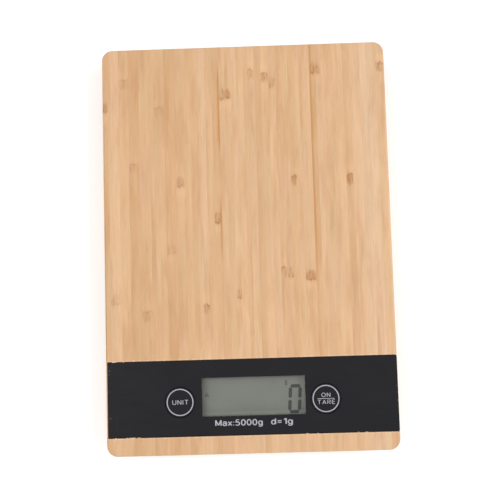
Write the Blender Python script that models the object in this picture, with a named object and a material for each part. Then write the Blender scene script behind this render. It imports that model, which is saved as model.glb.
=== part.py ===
"""A slim bamboo kitchen scale: a bamboo board on four load-cell feet, with a display panel let into its top.

Metres, +Z up. The origin is on the table, below the middle of the board. The display is at the -Y end, which
is the front. The board, the base cover and everything screwed to them are one rigid platform. Two keys, four
feet and the battery door move in it, and each of those has an empty on its joint's axis.
"""

import math

import bmesh
import bpy
from mathutils import Vector

MM = 0.001

# Driving sizes of the whole scale.
BOARD_WIDTH = 162 * MM
BOARD_LENGTH = 230 * MM
HEIGHT = 18 * MM
BOARD_THICKNESS = 14 * MM
BOARD_CORNER = 6 * MM
EDGE_ROUNDING = 1.2 * MM
GAP = 0.3 * MM  # clearance between pieces that touch
FIT = 0.2 * MM  # clearance round the window and the battery's contacts

# Heights above the table.
BOARD_UNDERSIDE = HEIGHT - BOARD_THICKNESS
POCKET_CEILING = HEIGHT - 5.5 * MM
PANEL_TOP = HEIGHT - 0.2 * MM
PANEL_UNDERSIDE = HEIGHT - 2 * MM
GROOVE_FLOOR = PANEL_UNDERSIDE - GAP
BASE_UNDERSIDE = 3 * MM
BASE_FLOOR = BASE_UNDERSIDE + 1.6 * MM
BASE_RIM = POCKET_CEILING - GAP
PCB_UNDERSIDE = 8.6 * MM
PCB_TOP = PCB_UNDERSIDE + 1.0 * MM

# The pocket milled into the board's underside, and the base cover that fills it.
POCKET_WIDTH = 148 * MM
POCKET_LENGTH = 216 * MM
POCKET_CORNER = 6 * MM
WALL = 1.6 * MM
RIM_GAP = 0.4 * MM

# The display panel, in a groove that is open at the board's right edge and leaves a thin lip at its left.
PANEL_MIDDLE = (0.5 * MM, -83.9 * MM)
PANEL_WIDTH = 160.6 * MM
PANEL_DEPTH = 41.1 * MM
PANEL_GAP = 0.4 * MM
GROOVE_LEFT = PANEL_MIDDLE[0] - PANEL_WIDTH / 2 - PANEL_GAP
GROOVE_DEPTH = PANEL_DEPTH + 2 * PANEL_GAP
KEYS_MIDDLE = 0.45 * MM
KEY_SPACING = 80.8 * MM
KEY_ROW = -86 * MM
KEY_RADIUS = 8.2 * MM
KEY_FLANGE_RADIUS = 9.0 * MM
KEY_FLANGE_THICKNESS = 1.0 * MM
KEY_FLANGE_TOP = PANEL_UNDERSIDE - GAP
KEY_FLANGE_BOTTOM = KEY_FLANGE_TOP - KEY_FLANGE_THICKNESS
KEY_STEM_RADIUS = 2.0 * MM
KEY_STEM_BOTTOM = KEY_FLANGE_BOTTOM - 1.4 * MM
LCD_MIDDLE = (0.9 * MM, -83.7 * MM)
LCD_VIEW = (57.4 * MM, 21.4 * MM)

# The circuit board hangs below the panel, and the board is cut through above it.
PCB_SIZE = (88 * MM, 31 * MM)
PCB_MIDDLE = (KEYS_MIDDLE, -85.2 * MM)
PCB_SCREW_SPREAD = (76 * MM, 25.6 * MM)
WINDOW_SIZE = (100.4 * MM, 34.8 * MM)
WINDOW_MIDDLE = (KEYS_MIDDLE, -84 * MM)
BOSS_RADIUS = 2.6 * MM
PILOT_RADIUS = 1.2 * MM

# Four feet, each carrying a load cell under a bracket.
FOOT_SPREAD = (58 * MM, 92 * MM)
FOOT_TRAVEL = 0.3 * MM
PAD_RADIUS = 8 * MM
PAD_THICKNESS = 1.5 * MM
PAD_ROUNDING = 0.3 * MM
NECK_RADIUS = 7.5 * MM
FLANGE_RADIUS = 11.8 * MM
FLANGE_THICKNESS = 1.2 * MM
RAIL_HEIGHT = 0.8 * MM
CELL_SIZE = 18 * MM
CELL_THICKNESS = 1.2 * MM
BRACKET_SIZE = 25 * MM
LEG_SIZE = 3 * MM
CELL_UNDERSIDE = BASE_FLOOR + GAP + FLANGE_THICKNESS + RAIL_HEIGHT + GAP
CELL_TOP = CELL_UNDERSIDE + CELL_THICKNESS

# The coin cell's compartment and its door, which tilts out about its rear edge.
BATTERY_MIDDLE = (0.0, -22 * MM)
CAVITY_SIZE = (24.8 * MM, 26.8 * MM)
CAVITY_CEILING = 9.0 * MM
BATTERY_BOX_TOP = 10.2 * MM
DOOR_THICKNESS = 1.4 * MM
DOOR_GAP = 0.35 * MM
DOOR_TAB_WIDTH = 4 * MM
DOOR_TAB_SPREAD = 7 * MM
DOOR_PIVOT = (0.0, BATTERY_MIDDLE[1] + CAVITY_SIZE[1] / 2 - FIT, BASE_UNDERSIDE)
COIN_RADIUS = 10 * MM
COIN_THICKNESS = 3.2 * MM
COIN_UNDERSIDE = BASE_UNDERSIDE + DOOR_THICKNESS + 0.6 * MM
CONTACT_THICKNESS = 0.3 * MM
CONTACT_TAB_TOP = 11.2 * MM

# Screws from the base cover into the board, and from the circuit board into the panel.
BASE_SCREW_PLACES = [(side * 66.5 * MM, y) for y in (-55 * MM, 6 * MM, 67 * MM) for side in (-1, 1)]
BASE_SCREW_PLACES += [(side * 30 * MM, 101 * MM) for side in (-1, 1)]
BASE_SCREW_HEAD = 2.6 * MM
BASE_SCREW_SHANK = 1.3 * MM
BASE_SCREW_TIP = 14.6 * MM
BASE_SHELF = 5.2 * MM
BASE_BOSS_RADIUS = 4 * MM
PCB_SCREW_HEAD = 1.9 * MM
PCB_SCREW_SHANK = 0.9 * MM
PCB_SCREW_TIP = 13 * MM

ROUND_STEPS = 32
MEDIUM_STEPS = 24
SMALL_STEPS = 12
CORNER_STEPS = 6


# ---------------------------------------------------------------- scene, materials and objects


def clear_scene():
    for thing in list(bpy.data.objects):
        bpy.data.objects.remove(thing)


def material(name, colour, roughness, metallic=0.0, alpha=1.0):
    made = bpy.data.materials.new(name)
    made.use_nodes = True
    shader = made.node_tree.nodes["Principled BSDF"]
    shader.inputs["Base Color"].default_value = (*colour, 1.0)
    shader.inputs["Roughness"].default_value = roughness
    shader.inputs["Metallic"].default_value = metallic
    shader.inputs["Alpha"].default_value = alpha
    made.diffuse_color = (*colour, alpha)
    return made


def link(thing):
    bpy.context.scene.collection.objects.link(thing)
    return thing


def place(name, mesh, finish, at=(0, 0, 0), turn=0.0, parent=None):
    """An object for one piece. Several pieces may share a mesh."""
    piece = link(bpy.data.objects.new(name, mesh))
    if not mesh.materials:
        mesh.materials.append(finish)
    piece.location = at
    piece.rotation_euler.z = turn
    piece.parent = parent
    return piece


def joint_empty(name, at):
    """An empty on a joint's axis. The pieces that move are its children."""
    empty = link(bpy.data.objects.new(name, None))
    empty.location = at
    empty.empty_display_size = 5 * MM
    return empty


def mesh_from(name, shape, smooth=False):
    """Turns a bmesh into a mesh whose faces point outwards."""
    bmesh.ops.recalc_face_normals(shape, faces=shape.faces)
    mesh = bpy.data.meshes.new(name)
    shape.to_mesh(mesh)
    shape.free()
    if smooth:
        mesh.shade_smooth()
        mesh.set_sharp_from_angle(angle=math.radians(35))
    return mesh


def combine(piece, shape, operation):
    """Cuts a shape from a piece, or joins it on, with a Boolean whose helper object stays hidden."""
    helper = link(bpy.data.objects.new(f"{piece.name}_{operation.lower()}", mesh_from("helper", shape)))
    helper.parent = piece.parent
    helper.location = piece.location
    helper.hide_render = True
    helper.display_type = "WIRE"
    modifier = piece.modifiers.new(operation.title(), "BOOLEAN")
    modifier.operation = operation
    modifier.solver = "EXACT"
    modifier.object = helper
    return piece


def settled_mesh(piece):
    """The mesh of a piece that is repeated, with its modifiers applied. The piece itself is removed."""
    bpy.context.view_layer.update()
    mesh = bpy.data.meshes.new_from_object(piece.evaluated_get(bpy.context.evaluated_depsgraph_get()))
    bpy.data.objects.remove(piece)
    return mesh


# ---------------------------------------------------------------- shapes


def circle(radius, steps=ROUND_STEPS):
    return [
        (radius * math.cos(math.tau * i / steps), radius * math.sin(math.tau * i / steps))
        for i in range(steps)
    ]


def rectangle(width, depth, corner=0.0, steps=CORNER_STEPS):
    """An outline centred on the origin, with round corners if corner isn't 0."""
    if not corner:
        return [(sx * width / 2, sy * depth / 2) for sx, sy in ((-1, -1), (1, -1), (1, 1), (-1, 1))]
    points = []
    for quarter, (sx, sy) in enumerate(((1, 1), (-1, 1), (-1, -1), (1, -1))):
        middle = (sx * (width / 2 - corner), sy * (depth / 2 - corner))
        for i in range(steps + 1):
            angle = math.pi / 2 * (quarter + i / steps)
            points.append((middle[0] + corner * math.cos(angle), middle[1] + corner * math.sin(angle)))
    return points


def add_prism(shape, outline, bottom, top, at=(0, 0)):
    """Extrudes an outline upwards into a closed solid."""
    base = shape.faces.new([shape.verts.new((x + at[0], y + at[1], bottom)) for x, y in outline])
    raised = bmesh.ops.extrude_face_region(shape, geom=[base])["geom"]
    corners = [v for v in raised if isinstance(v, bmesh.types.BMVert)]
    bmesh.ops.translate(shape, verts=corners, vec=(0, 0, top - bottom))
    return shape


def prism(outline, bottom, top, at=(0, 0)):
    return add_prism(bmesh.new(), outline, bottom, top, at)


def box(low, high):
    """A block between two corners."""
    outline = rectangle(high[0] - low[0], high[1] - low[1])
    middle = ((low[0] + high[0]) / 2, (low[1] + high[1]) / 2)
    return prism(outline, low[2], high[2], middle)


def add_turned(shape, profile, steps=ROUND_STEPS, at=(0, 0)):
    """Spins (radius, height) points about a vertical axis. The profile starts and ends on the axis."""
    rim = [shape.verts.new((at[0] + r, at[1], z)) for r, z in profile]
    edges = [shape.edges.new(pair) for pair in zip(rim, rim[1:])]
    bmesh.ops.spin(
        shape, geom=rim + edges, cent=(*at, 0), axis=(0, 0, 1), angle=math.tau, steps=steps, use_merge=True
    )
    bmesh.ops.remove_doubles(shape, verts=shape.verts, dist=1e-6)
    return shape


def turned(profile, steps=ROUND_STEPS, at=(0, 0)):
    return add_turned(bmesh.new(), profile, steps, at)


def rounded_disc(radius, bottom, top, rounding, steps=ROUND_STEPS):
    """A disc with small chamfers on both rims."""
    return turned(
        [
            (0, bottom),
            (radius - rounding, bottom),
            (radius, bottom + rounding),
            (radius, top - rounding),
            (radius - rounding, top),
            (0, top),
        ],
        steps,
    )


def mirrored(points):
    """The same route on the other side of the scale."""
    return [(-x, y, z) for x, y, z in points]


def smooth_route(points, spacing):
    """Points along a smooth curve through the given ones, about spacing apart."""
    ends = [2 * points[0] - points[1], *points, 2 * points[-1] - points[-2]]
    made = []
    for before, start, end, after in zip(ends, ends[1:], ends[2:], ends[3:]):
        pieces = max(1, round((end - start).length / spacing))
        for i in range(pieces):
            t = i / pieces
            bend = (2 * before - 5 * start + 4 * end - after) * t * t
            turn = (3 * start - before - 3 * end + after) * t**3
            made.append((2 * start + (end - before) * t + bend + turn) / 2)
    return [*made, points[-1]]


def lead(name, finish, radius, points):
    """An insulated lead: a tube along a smooth curve through points in millimetres."""
    route = smooth_route([Vector(p) * MM for p in points], 6 * radius)
    curve = bpy.data.curves.new(name, "CURVE")
    curve.dimensions = "3D"
    curve.bevel_depth = radius
    curve.bevel_resolution = 2
    curve.use_fill_caps = True
    spline = curve.splines.new("POLY")
    spline.points.add(len(route) - 1)
    for point, place_on_route in zip(spline.points, route):
        point.co = (*place_on_route, 1)
    curve.materials.append(finish)
    return link(bpy.data.objects.new(name, curve))


# ---------------------------------------------------------------- board


def make_bamboo_board(finish):
    """The weighing board: rounded edges, a groove across its top, and a pocket milled into its underside."""
    shape = prism(rectangle(BOARD_WIDTH, BOARD_LENGTH, BOARD_CORNER), BOARD_UNDERSIDE, HEIGHT)
    rims = [e for e in shape.edges if abs(e.verts[0].co.z - e.verts[1].co.z) < 1e-9]
    bmesh.ops.bevel(
        shape, geom=rims, offset=EDGE_ROUNDING, segments=2, profile=0.5, affect="EDGES", clamp_overlap=True
    )
    board = place("bamboo_board", mesh_from("bamboo_board", shape), finish)
    pocket = rectangle(POCKET_WIDTH, POCKET_LENGTH, POCKET_CORNER)
    combine(board, prism(pocket, BOARD_UNDERSIDE - 1 * MM, POCKET_CEILING), "DIFFERENCE")
    past_right = BOARD_WIDTH / 2 + 5 * MM
    groove = rectangle(past_right - GROOVE_LEFT, GROOVE_DEPTH)
    middle = ((past_right + GROOVE_LEFT) / 2, PANEL_MIDDLE[1])
    combine(board, prism(groove, GROOVE_FLOOR, HEIGHT + 1 * MM, middle), "DIFFERENCE")
    window = rectangle(*WINDOW_SIZE, 2 * MM, 3)
    combine(board, prism(window, POCKET_CEILING - 1 * MM, GROOVE_FLOOR + 1 * MM, WINDOW_MIDDLE), "DIFFERENCE")
    pilots = bmesh.new()
    for place_of_screw in BASE_SCREW_PLACES:
        hole = circle(BASE_SCREW_SHANK + GAP, SMALL_STEPS)
        add_prism(pilots, hole, POCKET_CEILING - 1 * MM, BASE_SCREW_TIP + 0.4 * MM, place_of_screw)
    return combine(board, pilots, "DIFFERENCE")


# ---------------------------------------------------------------- display panel and keys


def key_places():
    return [(KEYS_MIDDLE + side * KEY_SPACING / 2, KEY_ROW) for side in (-1, 1)]


def pcb_screw_places():
    spread_x, spread_y = PCB_SCREW_SPREAD
    return [
        (PCB_MIDDLE[0] + sx * spread_x / 2, PCB_MIDDLE[1] + sy * spread_y / 2)
        for sy in (-1, 1)
        for sx in (-1, 1)
    ]


def make_display_panel(finish):
    """The black panel: holes for the keys, the window's opening, and four bosses for the circuit board."""
    shape = prism(rectangle(PANEL_WIDTH, PANEL_DEPTH), PANEL_UNDERSIDE, PANEL_TOP, PANEL_MIDDLE)
    panel = place("display_panel", mesh_from("display_panel", shape), finish)
    bosses = bmesh.new()
    for at in pcb_screw_places():
        add_prism(bosses, circle(BOSS_RADIUS, 16), PCB_TOP + GAP, PANEL_UNDERSIDE + 0.5 * MM, at)
    combine(panel, bosses, "UNION")
    holes = bmesh.new()
    for at in key_places():
        add_prism(holes, circle(KEY_RADIUS + GAP), PANEL_UNDERSIDE - 1 * MM, HEIGHT + 1 * MM, at)
    for at in pcb_screw_places():
        add_prism(holes, circle(PILOT_RADIUS, SMALL_STEPS), PCB_TOP - 1 * MM, PCB_SCREW_TIP + 0.5 * MM, at)
    add_prism(holes, rectangle(*LCD_VIEW), PANEL_UNDERSIDE - 1 * MM, HEIGHT + 1 * MM, LCD_MIDDLE)
    return combine(panel, holes, "DIFFERENCE")


def make_display_window(finish):
    """The clear window, flush in the panel over the display."""
    width, depth = (size - 2 * FIT for size in LCD_VIEW)
    shape = prism(rectangle(width, depth), PANEL_UNDERSIDE, PANEL_TOP, LCD_MIDDLE)
    return place("display_window", mesh_from("display_window", shape), finish)


def make_key(name, finish, parent):
    """A round key: a cap flush with the panel, a flange that keeps it in, and a stem over its switch."""
    chamfer = 0.2 * MM
    profile = [
        (0, KEY_STEM_BOTTOM),
        (KEY_STEM_RADIUS, KEY_STEM_BOTTOM),
        (KEY_STEM_RADIUS, KEY_FLANGE_BOTTOM),
        (KEY_FLANGE_RADIUS, KEY_FLANGE_BOTTOM),
        (KEY_FLANGE_RADIUS, KEY_FLANGE_TOP),
        (KEY_RADIUS, KEY_FLANGE_TOP),
        (KEY_RADIUS, PANEL_TOP - chamfer),
        (KEY_RADIUS - chamfer, PANEL_TOP),
        (0, PANEL_TOP),
    ]
    return place(name, mesh_from(name, turned(profile), smooth=True), finish, parent=parent)


# ---------------------------------------------------------------- display and circuit board


def make_lcd(glass, reflector, black):
    """The display: two glass sheets, a reflector and the frame that clamps them to the circuit board."""
    x, y = LCD_MIDDLE
    half_width, upper, lower = 29.3 * MM, 13.1 * MM, 13.1 * MM
    ledge = 3.6 * MM  # the front sheet's contact ledge, which the rear sheet leaves free
    front = box((x - half_width, y - lower, 13.3 * MM), (x + half_width, y + upper, 14.3 * MM))
    place("lcd_front_glass", mesh_from("lcd_front_glass", front), glass)
    rear = box((x - half_width, y - lower + ledge, 12.0 * MM), (x + half_width, y + upper, 13.0 * MM))
    place("lcd_rear_glass", mesh_from("lcd_rear_glass", rear), glass)
    sheet = box((x - half_width, y - lower + ledge, 11.3 * MM), (x + half_width, y + upper, 11.7 * MM))
    place("lcd_reflector", mesh_from("lcd_reflector", sheet), reflector)

    wall, lip = 1.0 * MM, 0.9 * MM
    frame_bottom, frame_top = PCB_TOP + GAP, PANEL_UNDERSIDE - 0.5 * MM
    inner = (2 * (half_width + GAP), upper + lower + 2 * GAP)
    outer = (inner[0] + 2 * wall, inner[1] + 2 * wall)
    shape = prism(rectangle(*outer, 0.8 * MM, 2), frame_bottom, frame_top, LCD_MIDDLE)
    frame = place("lcd_frame", mesh_from("lcd_frame", shape), black)
    combine(frame, prism(rectangle(*inner), frame_bottom - 1 * MM, frame_top - lip, LCD_MIDDLE), "DIFFERENCE")
    view = rectangle(LCD_VIEW[0] + 0.6 * MM, LCD_VIEW[1] + 0.6 * MM)
    combine(frame, prism(view, frame_bottom - 2 * MM, frame_top + 1 * MM, LCD_MIDDLE), "DIFFERENCE")


def make_zebra_strip(finish):
    """The rubber strip that joins the display's contact ledge to the circuit board."""
    x, y = LCD_MIDDLE
    front_edge = y - 12.4 * MM
    shape = box((x - 26 * MM, front_edge, PCB_TOP + GAP), (x + 26 * MM, front_edge + 2.2 * MM, 13.0 * MM))
    return place("zebra_strip", mesh_from("zebra_strip", shape), finish)


def make_circuit_board(finish):
    shape = prism(rectangle(*PCB_SIZE), PCB_UNDERSIDE, PCB_TOP, PCB_MIDDLE)
    board = place("circuit_board", mesh_from("circuit_board", shape), finish)
    holes = bmesh.new()
    for at in pcb_screw_places():
        hole = circle(PCB_SCREW_SHANK + GAP, SMALL_STEPS)
        add_prism(holes, hole, PCB_UNDERSIDE - 1 * MM, PCB_TOP + 1 * MM, at)
    return combine(board, holes, "DIFFERENCE")


def make_components(epoxy, sleeve, chip):
    """What is soldered under the circuit board: the controller in its epoxy, a capacitor and a memory."""
    top = PCB_UNDERSIDE - GAP
    x, y = PCB_MIDDLE
    radius, drop = 6.5 * MM, 1.4 * MM
    steps = 4
    angles = [math.pi / 2 * i / steps for i in range(steps + 1)]
    dome = [(radius * math.sin(a), top - drop * math.cos(a)) for a in angles]
    blob = turned([*dome, (0, top)], MEDIUM_STEPS)
    place("controller_blob", mesh_from("controller_blob", blob, smooth=True), epoxy, at=(x, y + 1 * MM, 0))

    can_radius, can_length = 1.8 * MM, 6.5 * MM
    can = bmesh.new()
    bmesh.ops.create_cone(
        can, cap_ends=True, segments=16, radius1=can_radius, radius2=can_radius, depth=can_length
    )
    can_mesh = mesh_from("smoothing_capacitor", can, smooth=True)
    capacitor = place("smoothing_capacitor", can_mesh, sleeve, at=(x - 20 * MM, y + 4 * MM, top - can_radius))
    capacitor.rotation_euler.y = math.pi / 2

    memory = box((x + 19 * MM, y - 2 * MM, top - 1.5 * MM), (x + 24 * MM, y + 2 * MM, top))
    place("memory_chip", mesh_from("memory_chip", memory), chip)


def make_switch(name, at, body_finish, plunger_finish, moving_parent):
    """A tact switch. Its plunger moves with the key above it."""
    side, body_top, well = 6.2 * MM, 12.2 * MM, 11.0 * MM
    radius, bottom, top = 1.7 * MM, 11.7 * MM, KEY_STEM_BOTTOM - GAP
    body_name, plunger_name = f"{name}_switch_body", f"{name}_switch_plunger"
    block = mesh_from(body_name, prism(rectangle(side, side), PCB_TOP + GAP, body_top, at))
    body = place(body_name, block, body_finish)
    combine(body, prism(circle(radius + GAP, 16), well, body_top + 1 * MM, at), "DIFFERENCE")
    plunger = turned([(0, bottom), (radius, bottom), (radius, top), (0, top)], 16)
    place(plunger_name, mesh_from(plunger_name, plunger, smooth=True), plunger_finish, parent=moving_parent)


# ---------------------------------------------------------------- base cover


def make_base_cover(finish):
    """The tray that closes the board's pocket, with screw bosses, foot wells and the battery compartment."""
    outer = (POCKET_WIDTH - 2 * RIM_GAP, POCKET_LENGTH - 2 * RIM_GAP)
    corner = POCKET_CORNER - RIM_GAP
    shape = prism(rectangle(*outer, corner), BASE_UNDERSIDE, BASE_RIM)
    lower_rim = [e for e in shape.edges if max(v.co.z for v in e.verts) < BASE_UNDERSIDE + 1e-9]
    bmesh.ops.bevel(shape, geom=lower_rim, offset=0.5 * MM, segments=1, profile=0.5, affect="EDGES")
    cover = place("base_cover", mesh_from("base_cover", shape), finish)
    inner = rectangle(outer[0] - 2 * WALL, outer[1] - 2 * WALL, corner - WALL)
    combine(cover, prism(inner, BASE_FLOOR, BASE_RIM + 1 * MM), "DIFFERENCE")

    root = BASE_FLOOR - 0.6 * MM  # what stands on the floor is sunk into it a little
    raised = bmesh.new()
    for at in BASE_SCREW_PLACES:
        add_prism(raised, circle(BASE_BOSS_RADIUS, 16), root, BASE_RIM - 0.2 * MM, at)
    box_size = (CAVITY_SIZE[0] + 2 * WALL, CAVITY_SIZE[1] + 2 * WALL)
    add_prism(raised, rectangle(*box_size), root, BATTERY_BOX_TOP, BATTERY_MIDDLE)
    for side in (-1, 1):
        low, high = 12 * MM, 88 * MM
        add_prism(raised, rectangle(1.4 * MM, high - low), root, 8 * MM, (side * 20 * MM, (low + high) / 2))
    for sx, sy in foot_signs():
        add_prism(raised, locating_rib(sx, sy), root, 5.8 * MM)
    combine(cover, raised, "UNION")

    openings = bmesh.new()
    for at in BASE_SCREW_PLACES:
        hole = BASE_SCREW_SHANK + GAP
        counterbore = BASE_SCREW_HEAD + GAP
        below, above = BASE_UNDERSIDE - 1 * MM, BASE_RIM + 1 * MM
        steps = [(0, below), (counterbore, below), (counterbore, BASE_SHELF), (hole, BASE_SHELF)]
        add_turned(openings, [*steps, (hole, above), (0, above)], SMALL_STEPS, at)
    for sx, sy in foot_signs():
        at = (sx * FOOT_SPREAD[0], sy * FOOT_SPREAD[1])
        well = circle(NECK_RADIUS + GAP, MEDIUM_STEPS)
        add_prism(openings, well, BASE_UNDERSIDE - 1 * MM, BASE_FLOOR + 1 * MM, at)
    combine(cover, openings, "DIFFERENCE")
    combine(cover, prism(rectangle(*CAVITY_SIZE), BASE_UNDERSIDE - 1 * MM, CAVITY_CEILING, BATTERY_MIDDLE),
            "DIFFERENCE")

    slots = bmesh.new()
    rear = BATTERY_MIDDLE[1] + CAVITY_SIZE[1] / 2
    for side in (-1, 1):
        add_prism(slots, rectangle(DOOR_TAB_WIDTH + 2 * GAP, 2.6 * MM), BASE_UNDERSIDE + 0.8 * MM, 6.6 * MM,
                  (side * DOOR_TAB_SPREAD, rear + 0.3 * MM))
    positive, negative = contact_tabs()
    for low, high in (positive, negative):
        size = (high[0] - low[0] + 2 * GAP, high[1] - low[1] + 2 * GAP)
        add_prism(slots, rectangle(*size), CAVITY_CEILING - 1 * MM, BATTERY_BOX_TOP + 1 * MM,
                  ((low[0] + high[0]) / 2, (low[1] + high[1]) / 2))
    return combine(cover, slots, "DIFFERENCE")


def foot_signs():
    return [(sx, sy) for sy in (-1, 1) for sx in (-1, 1)]


def locating_rib(sx, sy):
    """An L-shaped rib that holds a foot's bracket against the tray's wall."""
    x, y = sx * FOOT_SPREAD[0], sy * FOOT_SPREAD[1]
    near, thick, far = BRACKET_SIZE / 2 + GAP, 1.2 * MM, BRACKET_SIZE / 2 - 1 * MM
    corner = near + thick
    outline = [(-corner, -corner), (far, -corner), (far, -near), (-near, -near), (-near, far), (-corner, far)]
    return [(x + sx * px, y + sy * py) for px, py in outline]


# ---------------------------------------------------------------- battery


def contact_tabs():
    """The corners of the two contact tabs that pass the compartment's ceiling: positive, then negative."""
    x, y = BATTERY_MIDDLE
    half_width = 2.5 * MM
    edge = COIN_RADIUS + GAP
    positive = (
        (x + edge, y - half_width, COIN_UNDERSIDE + 0.2 * MM),
        (x + edge + CONTACT_THICKNESS, y + half_width, CONTACT_TAB_TOP),
    )
    back = y + 8 * MM
    negative = (
        (x - half_width, back, CAVITY_CEILING - FIT - CONTACT_THICKNESS),
        (x + half_width, back + CONTACT_THICKNESS, CONTACT_TAB_TOP),
    )
    return positive, negative


def make_contacts(finish):
    """Two sprung strips: one against the coin cell's rim, and one along the compartment's ceiling."""
    positive, negative = contact_tabs()
    clip = place("battery_positive_contact", mesh_from("battery_positive_contact", box(*positive)), finish)
    (x0, y0, z0), (x1, y1, _) = positive
    combine(clip, box((x0 + 0.1 * MM, y0, z0), (x1 + 1.2 * MM, y1, z0 + CONTACT_THICKNESS)), "UNION")
    strip = place("battery_negative_contact", mesh_from("battery_negative_contact", box(*negative)), finish)
    (x0, y0, z0), (x1, y1, _) = negative
    combine(strip, box((x0, y0 - 13 * MM, z0), (x1, y0 + 0.1 * MM, z0 + CONTACT_THICKNESS)), "UNION")


def make_coin_cell(finish):
    """A coin cell, whose narrower negative can stands a little proud of its rim."""
    top = COIN_UNDERSIDE + COIN_THICKNESS
    step, inset, chamfer = 0.5 * MM, 1.2 * MM, 0.3 * MM
    profile = [
        (0, COIN_UNDERSIDE),
        (COIN_RADIUS - chamfer, COIN_UNDERSIDE),
        (COIN_RADIUS, COIN_UNDERSIDE + chamfer),
        (COIN_RADIUS, top - step),
        (COIN_RADIUS - inset, top - step),
        (COIN_RADIUS - inset, top),
        (0, top),
    ]
    mesh = mesh_from("coin_cell", turned(profile), smooth=True)
    return place("coin_cell", mesh, finish, at=(*BATTERY_MIDDLE, 0))


def make_battery_door(finish):
    """The door, built about its tilting edge: a plate, two tabs behind it and a snap tongue in front."""
    pivot = joint_empty("battery_door_axis", DOOR_PIVOT)
    half_width = CAVITY_SIZE[0] / 2 - DOOR_GAP
    rear = BATTERY_MIDDLE[1] + CAVITY_SIZE[1] / 2 - DOOR_GAP - DOOR_PIVOT[1]
    front = rear - CAVITY_SIZE[1] + 2 * DOOR_GAP + GAP
    shape = box((-half_width, front, 0), (half_width, rear, DOOR_THICKNESS))
    door = place("battery_door", mesh_from("battery_door", shape), finish, parent=pivot)
    added = bmesh.new()
    tab_low, tab_high = 1.1 * MM, 1.9 * MM
    for side in (-1, 1):
        tab = rectangle(DOOR_TAB_WIDTH, 2.4 * MM)
        add_prism(added, tab, tab_low, tab_high, (side * DOOR_TAB_SPREAD, rear + 0.2 * MM))
    bead = rectangle(5 * MM, 1 * MM)
    add_prism(added, bead, 0.7 * MM, 1.2 * MM, (0, front + 0.2 * MM))
    combine(door, added, "UNION")
    slits = bmesh.new()
    for side in (-1, 1):
        slit = rectangle(0.8 * MM, 7 * MM)
        add_prism(slits, slit, -1 * MM, DOOR_THICKNESS + 1 * MM, (side * 4 * MM, front + 2.5 * MM))
    return combine(door, slits, "DIFFERENCE")


# ---------------------------------------------------------------- feet


def foot_name(sx, sy):
    return f"{'front' if sy < 0 else 'rear'}_{'left' if sx < 0 else 'right'}"


def cup_mesh(finish):
    """A foot's cup: a neck through the base cover, a flange that keeps it in, and rails for the load cell."""
    bottom = PAD_THICKNESS + GAP
    flange_bottom = BASE_FLOOR + GAP
    flange_top = flange_bottom + FLANGE_THICKNESS
    profile = [
        (0, bottom),
        (NECK_RADIUS, bottom),
        (NECK_RADIUS, flange_bottom),
        (FLANGE_RADIUS, flange_bottom),
        (FLANGE_RADIUS, flange_top),
        (0, flange_top),
    ]
    cup = place("cup", mesh_from("cup", turned(profile, MEDIUM_STEPS), smooth=True), finish)
    rails = bmesh.new()
    for side in (-1, 1):
        rail = rectangle(4 * MM, 15 * MM)
        add_prism(rails, rail, flange_top - 0.5 * MM, flange_top + RAIL_HEIGHT, (side * 6.9 * MM, 0))
    return settled_mesh(combine(cup, rails, "UNION"))


def cell_mesh():
    """A load cell: a steel plate whose two slots leave a middle finger, which bends under load."""
    half, finger, slot = CELL_SIZE / 2, 3.2 * MM, 1.2 * MM
    slot_end, finger_end = -5 * MM, 6.5 * MM
    right = [
        (half, half),
        (finger + slot, half),
        (finger + slot, slot_end),
        (finger, slot_end),
        (finger, finger_end),
    ]
    left = [(-x, y) for x, y in reversed(right)]
    outline = [(-half, -half), (half, -half), *right, *left]
    return mesh_from("load_cell", prism(outline, CELL_UNDERSIDE, CELL_TOP))


def bracket_mesh(finish):
    """The bracket over a load cell: a plate on four legs, with a pin that presses on the cell's finger."""
    top, bottom = BASE_RIM, BASE_FLOOR + GAP
    plate_bottom = top - 1.6 * MM
    pin_bottom = CELL_TOP + GAP + FOOT_TRAVEL
    plate = prism(rectangle(BRACKET_SIZE, BRACKET_SIZE), plate_bottom, top)
    bracket = place("bracket", mesh_from("bracket", plate), finish)
    below = bmesh.new()
    reach = (BRACKET_SIZE - LEG_SIZE) / 2
    leg = rectangle(LEG_SIZE, LEG_SIZE)
    for sx, sy in foot_signs():
        add_prism(below, leg, bottom, plate_bottom + 0.5 * MM, (sx * reach, sy * reach))
    add_prism(below, circle(1.5 * MM, SMALL_STEPS), pin_bottom, plate_bottom + 0.5 * MM)
    return settled_mesh(combine(bracket, below, "UNION"))


def make_feet(rubber, plastic, steel):
    pad_shape = rounded_disc(PAD_RADIUS, 0, PAD_THICKNESS, PAD_ROUNDING, MEDIUM_STEPS)
    pad = mesh_from("foot_pad", pad_shape, smooth=True)
    cup, cell, bracket = cup_mesh(plastic), cell_mesh(), bracket_mesh(plastic)
    for sx, sy in foot_signs():
        name = foot_name(sx, sy)
        middle = (sx * FOOT_SPREAD[0], sy * FOOT_SPREAD[1], 0)
        axis = joint_empty(f"foot_{name}_axis", middle)
        place(f"foot_pad_{name}", pad, rubber, parent=axis)
        place(f"foot_cup_{name}", cup, plastic, parent=axis)
        place(f"load_cell_{name}", cell, steel, parent=axis)
        place(f"cell_bracket_{name}", bracket, plastic, at=middle)


# ---------------------------------------------------------------- screws and leads


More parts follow.
